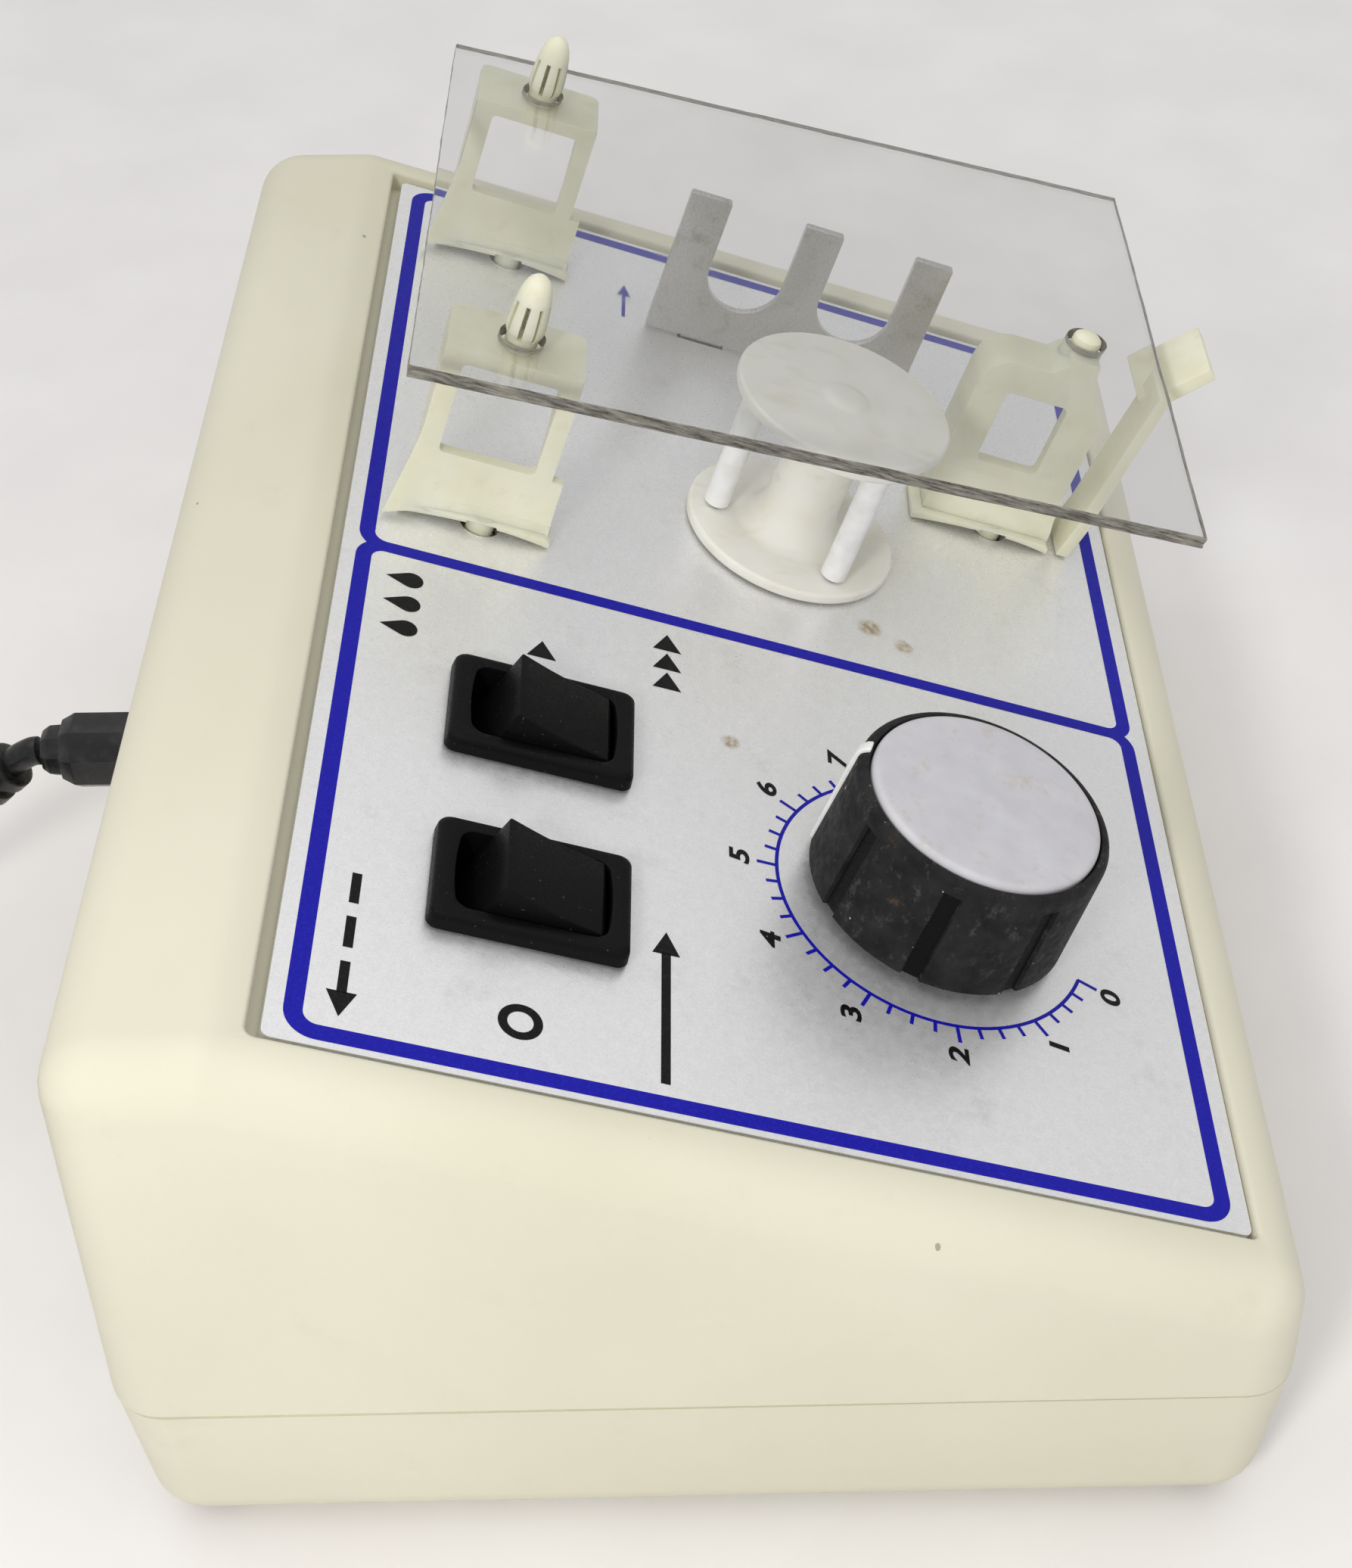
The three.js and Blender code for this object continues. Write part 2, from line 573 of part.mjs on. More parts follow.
const gear = (teeth, [z0, z1], phase = 0) => prism(gearOutline(teeth, phase), z0, z1);
const IDLER_AT = [ROTOR_AT[0] - GEAR_CENTRES, ROTOR_AT[1]];
const MOTOR_AT = [
  IDLER_AT[0] + GEAR_CENTRES * Math.cos(radians(60)),
  IDLER_AT[1] - GEAR_CENTRES * Math.sin(radians(60)),
];
const JOURNAL_R = 1.5;
const MOTOR_SHAFT_R = 1;
const HALF_TOOTH = 180 / SMALL_TEETH;
const POST_R = 2.5;
const POSTS = [[36, -4], [74, 2], [60, 33]];
const PLATE_U = [30, 80];
const PLATE_V = [-10, 38];

const outputGear = () => gear(LARGE_TEETH, UPPER_GEAR_W).subtract(rod(SHAFT_R + GAP, -20, 0));
const SHAFT_BOTTOM = -23;
const SHAFT_CHAMFER = 0.4;
const outputShaft = () => turned([[0, SHAFT_BOTTOM], [SHAFT_R - SHAFT_CHAMFER, SHAFT_BOTTOM],
  [SHAFT_R, SHAFT_BOTTOM + SHAFT_CHAMFER], [SHAFT_R, SHAFT_TOP - SHAFT_CHAMFER],
  [SHAFT_R - SHAFT_CHAMFER, SHAFT_TOP], [0, SHAFT_TOP]]);

function idlerGear() {
  const journal = rod(JOURNAL_R, LOWER_PLATE_W[0] - 0.5, UPPER_PLATE_W[1] - GAP, 16);
  const wheel = gear(LARGE_TEETH, LOWER_GEAR_W);
  return union(journal, wheel, gear(SMALL_TEETH, [LOWER_GEAR_W[1] - 0.2, -6], HALF_TOOTH));
}

function motorPinion() {
  const pinion = gear(SMALL_TEETH, [LOWER_GEAR_W[0] - 1, LOWER_GEAR_W[1] + 1], HALF_TOOTH);
  return pinion.add(rod(MOTOR_SHAFT_R, -30, -12, 12));
}

function gearPlate([z0, z1]) {
  const plate = roundedBlock(PLATE_U, PLATE_V, [z0, z1], 3);
  const holes = [
    rod(SHAFT_R + RUNNING, z0 - 1, z1 + 1, 24, ...ROTOR_AT),
    rod(JOURNAL_R + RUNNING, z0 - 1, z1 + 1, 16, ...IDLER_AT),
  ];
  return { plate, holes };
}

function upperPlate() {
  const { plate, holes } = gearPlate(UPPER_PLATE_W);
  return without(plate, ...holes);
}

function lowerPlate() {
  const { plate, holes } = gearPlate(LOWER_PLATE_W);
  return without(plate, ...holes, rod(4.2, LOWER_PLATE_W[0] - 1, LOWER_PLATE_W[1] + 1, 24, ...MOTOR_AT));
}

function motor() {
  const top = LOWER_PLATE_W[0] - GAP;
  const bottom = top - MOTOR_LENGTH;
  const boreR = MOTOR_SHAFT_R + GAP;
  const boreEnd = -31;
  const can = turned([[0, bottom], [MOTOR_R - 1, bottom], [MOTOR_R, bottom + 1], [MOTOR_R, top],
    [boreR, top], [boreR, boreEnd], [0, boreEnd]], 32);
  const lugs = [-5, 5].map((x) => block([x - 1, x + 1], [-0.3, 0.3], [bottom - 3, bottom + 0.2]));
  return union(can, ...lugs);
}

const gearPost = () => rod(POST_R, LOWER_PLATE_W[1] + GAP, UPPER_PLATE_W[0] - GAP, 16);

// ---------------------------------------------------------------- tube-holding comb
const COMB_TABS = [[2, 8], [23.5, 29.5]];

function tubeHolder() {
  const [v0, v1] = COMB_V;
  const slotCentre = COMB_SLOT_R + 6;
  const outline = [[v0, GAP]];
  for (const [t0, t1] of COMB_TABS) {
    outline.push([t0, GAP], [t0, -3], [t1, -3], [t1, GAP]);
  }
  outline.push([v1, GAP], [v1, COMB_TOP]);
  for (const k of [1, 0]) {
    const right = v0 + COMB_PITCH * (k + 1);
    const middle = right - COMB_SLOT_R;
    outline.push([right, COMB_TOP]);
    for (let step = 0; step <= 10; step += 1) {
      const a = radians(-18 * step);
      outline.push([middle + COMB_SLOT_R * Math.cos(a), slotCentre + COMB_SLOT_R * Math.sin(a)]);
    }
    outline.push([middle - COMB_SLOT_R, COMB_TOP]);
  }
  outline.push([v0, COMB_TOP]);
  return prismAlongX(outline, COMB_U - COMB_T / 2, COMB_U + COMB_T / 2);
}

// ---------------------------------------------------------------- cover and its supports
const SNAP_HOLE_R = 2.5;
const ANCHOR_R = 1.7;
const FRONT_ANCHOR = [76.2, -14.6];
const rearAnchor = (shift) => [47.6 + shift, 54.4];
const coverTilt = THREE.MathUtils.radToDeg(
  Math.atan2(COVER_FRONT.w - COVER_REAR.w, COVER_REAR.v - COVER_FRONT.v));
const coverTopAt = (v) =>
  COVER_REAR.w + (COVER_FRONT.w - COVER_REAR.w) * (COVER_REAR.v - v) / (COVER_REAR.v - COVER_FRONT.v);

// The push-in anchor below the panel: a stem with a barb that springs out under the hole.
function anchor(u, v, top) {
  const barbR = SNAP_HOLE_R + 0.5;
  const under = -PANEL_T - GAP;
  const tip = -6;
  return turned([[0, tip], [ANCHOR_R, tip], [barbR, under - 0.5], [ANCHOR_R, under], [ANCHOR_R, top],
    [0, top]], 12, u, v);
}

// A snap head: stem and rounded bullet, split crosswise so that it squeezes through the cover's hole.
function snapHead(u, v, base) {
  const head = turned([[0, base], [SNAP_STEM_R, base], [SNAP_STEM_R, base + 2.6], [SNAP_HEAD_R, base + 4],
    [SNAP_HEAD_R, base + 5.5], [2, base + 7.6], [1.5, base + 9.2], [0.8, base + 10.2], [0, base + 10.6]],
  16, u, v);
  const slitHalf = 0.35;
  const slitW = [base + 2.7, base + 7];
  const slits = [45, 135].map((turn) =>
    block([-4, 4], [-slitHalf, slitHalf], slitW).rotate([0, 0, turn]).translate([u, v, 0]));
  return without(head, ...slits);
}

const REAR_FRAME_V = [47.8, 64];
const REAR_FLANGE_TOP = 21.4;
const FOOT_TOP = 2.6;

const PAD_TOP = 1.4;              // upper face of the springy pad under each support
const LIP_BOTTOM = 1.2;
const NOTCH_R = 1.9;

// The pad under a support, notched beside the stem of its anchor.
function pad(u, v, [a, b]) {
  const cornerR = 0.8;
  const notchAway = 2.2;
  const notch = rod(NOTCH_R, -1, PAD_TOP - 0.1, 16, a - notchAway, b);
  return roundedBlock(u, v, [GAP, PAD_TOP], cornerR).subtract(notch);
}

// A bracket with a window, two tapered stiles, a flange that carries a snap head, and a flared wing.
function rearSupport(shift) {
  const u = 48.1 + shift;
  const [v0, v1] = REAR_FRAME_V;
  const reach = 9.9;              // of the flange, to the right of the web
  const stileT = 1.6;
  const web = block([u, u + 2], [v0, v1], [FOOT_TOP - 1, REAR_FLANGE_TOP]);
  const window = block([u - 5, u + 5], [50.5, 62.6], [8, 19.7]);
  const flange = roundedBlock([u, u + reach], [v0, v1], [REAR_FLANGE_TOP - 1.6, REAR_FLANGE_TOP], 0.6);
  const stileOutline = [[u, FOOT_TOP - 1], [u + 4.6, FOOT_TOP - 1], [u + reach, REAR_FLANGE_TOP - 0.5],
    [u, REAR_FLANGE_TOP - 0.5]];
  const stiles = [v0, v1 - stileT].map((v) => prismAlongY(stileOutline, v, v + stileT));
  const wingRoot = block([u, u + 1.6], [v1 - 1.7, v1], [8, 11]);
  const wingTip = block([u - 4.4, u - 2.9], [v1 + 0.9, v1 + 2.2], [0.7, 1.1]);
  const wing = wasm.Manifold.hull([wingRoot, wingTip]);
  const lip = roundedBlock([u - 1.4, u + 5.5], [v0 - 1.4, v1], [LIP_BOTTOM, FOOT_TOP], 0.6);
  const at = rearAnchor(shift);
  const frame = union(web, flange, ...stiles).subtract(window);
  return union(frame, wing, lip, pad([u - 2.4, u + 5], [v0 - 1.8, v1 + 0.4], at),
    anchor(...at, FOOT_TOP - 1), snapHead(REAR_SNAP[0] + shift, REAR_SNAP[1], REAR_FLANGE_TOP - 0.1));
}

// A deeper bracket beside the lever, whose neck carries the peg of the cover's third hole.
function frontSupport() {
  const u = 76.6;
  const [v0, v1] = [-22.5, -4.5];
  const top = 24;
  const rimT = 1.8;
  const pegTop = coverTopAt(FRONT_PEG[1]) - COVER_T - 0.4;
  const outline = [[v0, FOOT_TOP - 1], [v1, FOOT_TOP - 1], [v1, top - 4], [v1 - 1.2, top - 1.2],
    [v1 - 4, top], [-13.4, top], [-15.1, pegTop], [-18.7, pegTop], [v0, top - 5]];
  const hollow = [[v0 + rimT, -1], [v1 - rimT, -1], [v1 - rimT, top - 4.6], [v1 - 4.6, top - rimT],
    [-17.6, top - rimT], [v0 + rimT, top - 6]];
  const web = prismAlongX(outline, u, u + 2);
  const rim = prismAlongX(outline, u, u + 7).subtract(prismAlongX(hollow, u - 1, u + 9));
  const window = block([u - 5, u + 5], [-17.5, -9], [9.5, 20]);
  const pegSeat = rod(2.9, top - 2.5, pegTop, 20, ...FRONT_PEG);
  const pegR = 1.9;
  const peg = turned([[0, pegTop - 1], [pegR, pegTop - 1], [pegR, pegTop + 2.2], [pegR - 0.5, pegTop + 2.8],
    [0, pegTop + 3]], 20, ...FRONT_PEG);
  const lip = roundedBlock([u - 1.6, u + 6], [v0, v1], [LIP_BOTTOM, FOOT_TOP], 0.6);
  return union(web.add(rim).subtract(window), pegSeat, peg, lip,
    pad([u - 3, u + 5], [v0 - 0.2, v1 + 1.5], FRONT_ANCHOR), anchor(...FRONT_ANCHOR, FOOT_TOP - 1));
}

// An upright leaf that leans forward, and the wider finger tab that slopes up past the cover's front edge.
function releaseLever() {
  const leaf = prismAlongX([[-26, GAP], [-26.9, 5.6], [-28.6, 26.3], [-27, 26.3], [-25, 5.6], [-24.2, GAP]],
    ...LEVER_U);
  const tab = prismAlongX([[-26, 22.9], [-33, 31], [-34.5, 29.7], [-27.5, 21.6]], ...LEVER_TAB_U);
  return leaf.add(tab);
}

function coverPlate() {
  const slant = Math.hypot(COVER_FRONT.w - COVER_REAR.w, COVER_REAR.v - COVER_FRONT.v);
  const [u0, u1] = COVER_U;
  const outline = [[u0, -slant], [COVER_FRONT_RIGHT, -slant], [u1, 0], [u0, 0]];
  const flat = prism(outline, -COVER_T, 0)
    .rotate([-coverTilt, 0, 0])
    .translate([0, COVER_REAR.v, COVER_REAR.w]);
  const holes = [REAR_SNAP, [REAR_SNAP[0] + REAR_PITCH, REAR_SNAP[1]], FRONT_PEG].map(([u, v]) =>
    rod(COVER_HOLE_R, 10, 40, 24, u, v));
  return without(flat, ...holes);
}

// ---------------------------------------------------------------- power jack, plug, cord and adapter
const JACK_R = 5.2;

const towardRear = (solid) => solid.rotate([-90, 0, 0]);

function powerJack() {
  const face = REAR_FACE_Y + 0.7;
  const back = face - 14;
  const socket = { r: 3.1, floor: face - 10.5 };
  const barrel = turned([[0, back], [JACK_R, back], [JACK_R, face], [socket.r, face],
    [socket.r, socket.floor], [0, socket.floor]]);
  const nut = tube(JACK_R - 0.5, 7.2, face - 5.4, face - 3.8, 6);
  return towardRear(barrel.add(nut)).translate([JACK.x, 0, JACK.z]);
}

function powerPlug() {
  const start = REAR_FACE_Y + 0.7 + GAP;
  const r = PLUG_FLATS / 2 / Math.cos(Math.PI / 8);
  const body = turned([[0, start], [r, start], [r, PLUG_END_Y - 4], [r - 0.7, PLUG_END_Y - 2.2],
    [2.6, PLUG_END_Y], [0, PLUG_END_Y]], 8).rotate([0, 0, 22.5]);
  const barrel = rod(2.75, start - 9, start + 0.2, 20);
  return towardRear(body.add(barrel)).translate([JACK.x, 0, JACK.z]);
}

// The bare neck and the ribbed boot, turned straight and then bent along the cord's first stretch.
const BOOT_PATH = [[-3, 82.1, 41], [-3, 83.2, 40.8], [-3, 85.4, 39.4], [-3, 89, 36], [-3, 95.4, 29.8],
  [-3, 102.4, 22.7]];

function strainRelief() {
  const path = new THREE.CatmullRomCurve3(BOOT_PATH.map((p) => new THREE.Vector3(...p)));
  const length = path.getLength();
  const neck = 4.4;
  const ribs = 7;
  const pitch = (length - neck) / ribs;
  const profile = [[0, 0], [CORD_R, 0], [CORD_R, neck / 2], [CORD_R, neck]];
  for (let k = 0; k < ribs; k += 1) {
    const s = neck + k * pitch;
    const r = 3.2 - 0.9 * (k / (ribs - 1));
    const valley = r - 0.7;
    profile.push([r, s + 0.1], [r, s + 0.6 * pitch]);
    if (k < ribs - 1) {
      profile.push([valley, s + 0.65 * pitch], [valley, s + 0.95 * pitch]);
    }
  }
  profile.push([CORD_R, length], [0, length]);
  const geometry = new THREE.LatheGeometry(profile.map(([r, s]) => new THREE.Vector2(r, s)), 12);
  const position = geometry.attributes.position;
  const side = new THREE.Vector3(1, 0, 0);
  for (let i = 0; i < position.count; i += 1) {
    const t = THREE.MathUtils.clamp(position.getY(i) / length, 0, 1);
    const along = path.getTangentAt(t);
    const up = new THREE.Vector3().crossVectors(side, along);
    const at = path.getPointAt(t);
    at.addScaledVector(side, position.getX(i)).addScaledVector(up, position.getZ(i));
    position.setXYZ(i, at.x, at.y, at.z);
  }
  return toSolid(geometry);
}

// The cord's two free stretches: plug to coil, and coil to wall adapter.
const CORD_PATH = [[-3, 102.8, 22.3], [-3, 107.2, 18.2], [-3.4, 113, 13.4], [-4.7, 119.5, 9],
  [-6.9, 125.8, 5.6], [-9.8, 131.6, 3.3], [-13, 136.6, 2.2], [-16.6, 140.8, 1.85]];
const TAIL_PATH = [[-72, 148.6, 4.7], [-75.4, 146.8, 4.3], [-78.8, 145.6, 4.1], [-81.4, 145, 4],
  [-83.6, 145, 4]];

function cordStretch(points, steps) {
  const path = new THREE.CatmullRomCurve3(points.map((p) => new THREE.Vector3(...p)));
  const section = new THREE.Shape();
  section.absarc(0, 0, CORD_R, 0, 2 * Math.PI);
  return toSolid(new THREE.ExtrudeGeometry(section, {
    extrudePath: path,
    steps,
    curveSegments: 4,
    bevelEnabled: false,
  }));
}

function cordCoil() {
  const halfWidth = COIL_TURNS_ACROSS * CORD_R;
  const height = 2 * COIL_LAYERS * CORD_R;
  const [inner, outer] = [COIL_R - halfWidth, COIL_R + halfWidth];
  const r = CORD_R;
  const profile = [[inner, r], [inner + r, TABLE_GAP], [outer - r, TABLE_GAP], [outer, r],
    [outer, height - r], [outer - r, height], [inner + r, height], [inner, height - r], [inner, r]];
  return turned(profile, 32, ...COIL_AT);
}

const TIE_W = 5;
const TIE_T = 0.9;

function cordTie() {
  const halfWidth = COIL_TURNS_ACROSS * CORD_R + GAP;
  const top = 2 * COIL_LAYERS * CORD_R + GAP;
  const [x] = COIL_AT;
  const y = COIL_AT[1] - COIL_R;
  const outer = [y - halfWidth - TIE_T, y + halfWidth + TIE_T];
  const strap = block([x - TIE_W / 2, x + TIE_W / 2], outer, [TABLE_GAP - 0.02, top + TIE_T]);
  const inside = block([x - TIE_W, x + TIE_W], [y - halfWidth, y + halfWidth], [-1, top]);
  return strap.subtract(inside);
}

const ADAPTER = { x: [-126, -84], y: [127, 161], z: [0, 26] };
const ADAPTER_EDGE = 1.5;
const BLADE = { gap: 12.7, width: 6.3, thickness: 1.5, length: 16 };

function wallAdapter() {
  const { x, y, z } = ADAPTER;
  const outline = rounded([[x[0], y[0]], [x[1], y[0]], [x[1], y[1]], [x[0], y[1]]], 2 * ADAPTER_EDGE);
  const body = new THREE.ExtrudeGeometry(toShape(outline), {
    depth: z[1] - z[0] - 2 * ADAPTER_EDGE,
    bevelThickness: ADAPTER_EDGE,
    bevelSize: ADAPTER_EDGE,
    bevelOffset: -ADAPTER_EDGE,
    bevelSegments: 2,
  }).translate(0, 0, ADAPTER_EDGE + TABLE_GAP);
  const sockets = [-1, 1].map((side) => bladeBox(side, 5, GAP));
  return without(toSolid(body), ...sockets);
}

// One mains blade, or with grow the socket around it, sunk to a depth in the adapter.
function bladeBox(side, depth, grow = 0) {
  const middleX = (ADAPTER.x[0] + ADAPTER.x[1]) / 2 - 4;
  const y = (ADAPTER.y[0] + ADAPTER.y[1]) / 2 + side * BLADE.gap / 2;
  const top = ADAPTER.z[1];
  const end = grow > 0 ? top + 2 : top + BLADE.length;
  return block([middleX - BLADE.width / 2 - grow, middleX + BLADE.width / 2 + grow],
    [y - BLADE.thickness / 2 - grow, y + BLADE.thickness / 2 + grow], [top - depth, end]);
}

// ---------------------------------------------------------------- assembly
piece(pump, 'base_pan', basePan(), ivory);
piece(pump, 'top_cover', topCover(), ivory);
corners.forEach(([sx, sy], i) => {
  piece(pump, `foot_${cornerNames[i]}`, foot().translate([sx * FOOT_AT[0], sy * FOOT_AT[1], 0]), rubber);
  piece(pump, `case_screw_${cornerNames[i]}`,
    caseScrew().translate([sx * FASTENER_AT[0], sy * FASTENER_AT[1], 0]), steel);
});
piece(pump, 'circuit_board', circuitBoard(), green);
piece(pump, 'capacitor', capacitor(), blue);

piece(panel, 'front_panel', frontPanel(), silver);
for (const [name, u] of [['speed', SPEED_U], ['direction', DIRECTION_U]]) {
  piece(panel, `${name}_switch_body`, switchBody(u), black);
  piece(panel, `${name}_rocker`, rocker().translate([u, SWITCH_V, ROCKER_PIVOT_W]), black);
}
piece(panel, 'pot_body', potBody(), steel);
piece(panel, 'pot_nut', potNut(), steel);
piece(panel, 'pot_shaft', potShaft(), steel);
piece(panel, 'knob_body', knobBody(), charcoal);
piece(panel, 'knob_cap', knobCap(), paleGrey);
piece(panel, 'knob_pointer', knobPointer(), white);

const atRotor = (solid) => solid.translate([...ROTOR_AT, 0]);
piece(panel, 'rotor_base', atRotor(rotorBase()), acetal);
piece(panel, 'rotor_top', atRotor(rotorTop()), acetal);
ROLLER_ANGLES.forEach((angle, i) => {
  const at = [...rollerAt(angle), 0];
  piece(panel, `roller_pin_${i + 1}`, atRotor(rollerPin().translate(at)), steel);
  piece(panel, `roller_${i + 1}`, atRotor(roller().translate(at)), white);
});
piece(panel, 'output_shaft', atRotor(outputShaft()), steel);
piece(panel, 'output_gear', atRotor(outputGear()), brass);
piece(panel, 'idler_gear', idlerGear().translate([...IDLER_AT, 0]), brass);
piece(panel, 'motor_pinion', motorPinion().translate([...MOTOR_AT, 0]), brass);
piece(panel, 'motor', motor().translate([...MOTOR_AT, 0]), steel);
piece(panel, 'gear_plate_upper', upperPlate(), steel);
piece(panel, 'gear_plate_lower', lowerPlate(), steel);
POSTS.forEach(([u, v], i) => piece(panel, `gear_post_${i + 1}`, gearPost().translate([u, v, 0]), steel));

piece(panel, 'tube_holder', tubeHolder(), steel);
piece(panel, 'support_rear_left', rearSupport(0), nylon);
piece(panel, 'support_rear_right', rearSupport(REAR_PITCH), nylon);
piece(panel, 'support_front', frontSupport(), nylon);
piece(panel, 'release_lever', releaseLever(), nylon);
piece(panel, 'cover_plate', coverPlate(), clear);

piece(pump, 'power_jack', powerJack(), black);
piece(pump, 'power_plug', powerPlug(), black);
piece(pump, 'strain_relief', strainRelief(), black);
piece(pump, 'cord', cordStretch(CORD_PATH, 14), black);
piece(pump, 'cord_coil', cordCoil(), black);
piece(pump, 'cord_tail', cordStretch(TAIL_PATH, 8), black);
piece(pump, 'cord_tie', cordTie(), black);
piece(pump, 'wall_adapter', wallAdapter(), black);
piece(pump, 'adapter_blade_1', bladeBox(-1, 4), brass);
piece(pump, 'adapter_blade_2', bladeBox(1, 4), brass);

// The origin is moved under the middle of the pump's own bounding box, its cord left out.
const onCord = /^(power_plug|strain_relief|cord.*|wall_adapter|adapter_.*)$/;
pump.updateMatrixWorld(true);
const bounds = new THREE.Box3();
pump.traverse((node) => {
  if (node.isMesh && !onCord.test(node.name)) {
    bounds.expandByObject(node, true);
  }
});
pump.position.y = -bounds.getCenter(new THREE.Vector3()).y;

export default pump;
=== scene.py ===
"""A benchtop peristaltic pump: sloping ivory case, silver control panel with two rockers and a dial,
three-roller rotor, slotted steel tube holder, and a clear cover on nylon supports."""
import math

import bmesh
import bpy
from mathutils import Matrix, Vector, noise


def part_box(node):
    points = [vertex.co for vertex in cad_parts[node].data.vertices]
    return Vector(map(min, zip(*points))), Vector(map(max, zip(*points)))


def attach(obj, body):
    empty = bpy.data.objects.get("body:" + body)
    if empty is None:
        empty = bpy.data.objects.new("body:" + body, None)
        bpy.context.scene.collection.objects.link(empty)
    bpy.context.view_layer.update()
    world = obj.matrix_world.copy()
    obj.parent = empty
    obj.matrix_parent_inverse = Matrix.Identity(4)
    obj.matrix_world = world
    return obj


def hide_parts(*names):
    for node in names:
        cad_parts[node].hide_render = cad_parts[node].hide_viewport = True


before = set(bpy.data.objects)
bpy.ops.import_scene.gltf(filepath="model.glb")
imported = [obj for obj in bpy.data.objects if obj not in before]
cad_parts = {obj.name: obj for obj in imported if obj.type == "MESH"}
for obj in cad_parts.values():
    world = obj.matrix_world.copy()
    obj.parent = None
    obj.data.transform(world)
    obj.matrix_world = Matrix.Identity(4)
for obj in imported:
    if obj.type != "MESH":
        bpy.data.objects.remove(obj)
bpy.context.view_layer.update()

# ---------------------------------------------------------------- places and sizes, in millimetres
MM = 0.001
SLOPE = math.radians(19)
pan_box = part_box("base_pan")
MIDDLE_Y = (pan_box[0].y + pan_box[1].y) / 2 / MM
CASE = Matrix.Scale(MM, 4) @ Matrix.Translation((0, MIDDLE_Y, 0))
PANEL = CASE @ Matrix.Translation((-41.9, -25.7, 50.6)) @ Matrix.Rotation(SLOPE, 4, "X")
ALONG_U = Matrix(((0, 0, 1, 0), (1, 0, 0, 0), (0, 1, 0, 0), (0, 0, 0, 1)))
ALONG_V = Matrix(((1, 0, 0, 0), (0, 0, 1, 0), (0, 1, 0, 0), (0, 0, 0, 1)))
CORNERS = ("front_left", "front_right", "rear_left", "rear_right")
INK_LOW, INK_HIGH = 0.012, 0.03         # heights of the print over the panel
REAR_HEAD = (52.1, 55.8)                # the left snap head
HEAD_PITCH = 60.5                       # from the left snap head to the right one
FRONT_PEG = (80.9, -16.9)
ROCKER_PIVOT = (45.6, -2)


def extent(node, space=PANEL):
    """Lowest and highest corner of a CAD node, in millimetres along the axes of a space."""
    back = space.inverted()
    points = [back @ vertex.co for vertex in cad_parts[node].data.vertices]
    return [Vector(pick(p[i] for p in points) for i in range(3)) for pick in (min, max)]


def middle_of(node, space=PANEL):
    """The middle of a CAD node across a space's first two axes."""
    low, high = extent(node, space)
    return (low.x + high.x) / 2, (low.y + high.y) / 2


def quarter(steps):
    """The angles of a quarter turn in equal steps."""
    return [math.pi / 2 * k / steps for k in range(steps + 1)]


def put(name, data):
    """A new object in the scene."""
    thing = bpy.data.objects.new(name, data)
    bpy.context.scene.collection.objects.link(thing)
    return thing


# ---------------------------------------------------------------- camera
def make_camera():
    data = bpy.data.cameras.new("camera")
    data.lens = 54.695
    data.sensor_width = 36
    data.shift_x, data.shift_y = -0.0541, 0.0551
    data.clip_start, data.clip_end = 0.01, 20
    camera = put("camera", data)
    camera.location = CASE @ Vector((-229.09, -0.99, 236.67))
    camera.rotation_euler = [math.radians(a) for a in (46.006, -0.227, -91.519)]
    bpy.context.scene.camera = camera


make_camera()


# ---------------------------------------------------------------- mesh tools
def from_bmesh(bm):
    """A mesh from a bmesh, with its faces turned outwards."""
    bmesh.ops.recalc_face_normals(bm, faces=bm.faces)
    mesh = bpy.data.meshes.new("solid")
    bm.to_mesh(mesh)
    bm.free()
    return mesh


def skin(bm, first, second):
    """Faces between two rings of vertices; a ring of one vertex closes to a point."""
    count = max(len(first), len(second))
    for i in range(count if count > 1 else 0):
        j = (i + 1) % count
        a, b = (i % len(first), j % len(first)), (j % len(second), i % len(second))
        corners = [first[k] for k in a] + [second[k] for k in b]
        bm.faces.new(list(dict.fromkeys(corners)))


def loft(rings, looped=False):
    """A solid through rings of points, closed at both ends by flat faces, or joined end to end."""
    bm = bmesh.new()
    made = [[bm.verts.new(point) for point in ring] for ring in rings]
    for first, second in zip(made, made[1:] + made[:1] if looped else made[1:]):
        skin(bm, first, second)
    for ring in ([] if looped else [made[0], made[-1]]):
        if len(ring) > 2:
            bm.faces.new(ring)
    return from_bmesh(bm)


def circle(r, z, steps, at=(0, 0), turn=0.0):
    """A ring of points round a line along z, or one point."""
    if r < 1e-6:
        return [(at[0], at[1], z)]
    angles = [turn + 2 * math.pi * k / steps for k in range(steps)]
    return [(at[0] + r * math.cos(a), at[1] + r * math.sin(a), z) for a in angles]


def lathe(profile, steps=96, at=(0, 0), looped=False, turn=0.0):
    """A turned solid about a line along z; profile is a list of (radius, z)."""
    return loft([circle(r, z, steps, at, turn) for r, z in profile], looped)


def soft_edge(r, z, radius, out, up, steps=4):
    """A quarter round on a turned profile between a flank of radius r and a face at height z."""
    return [(r - out * radius * (1 - math.cos(a)), z - up * radius * (1 - math.sin(a)))
            for a in quarter(steps)]


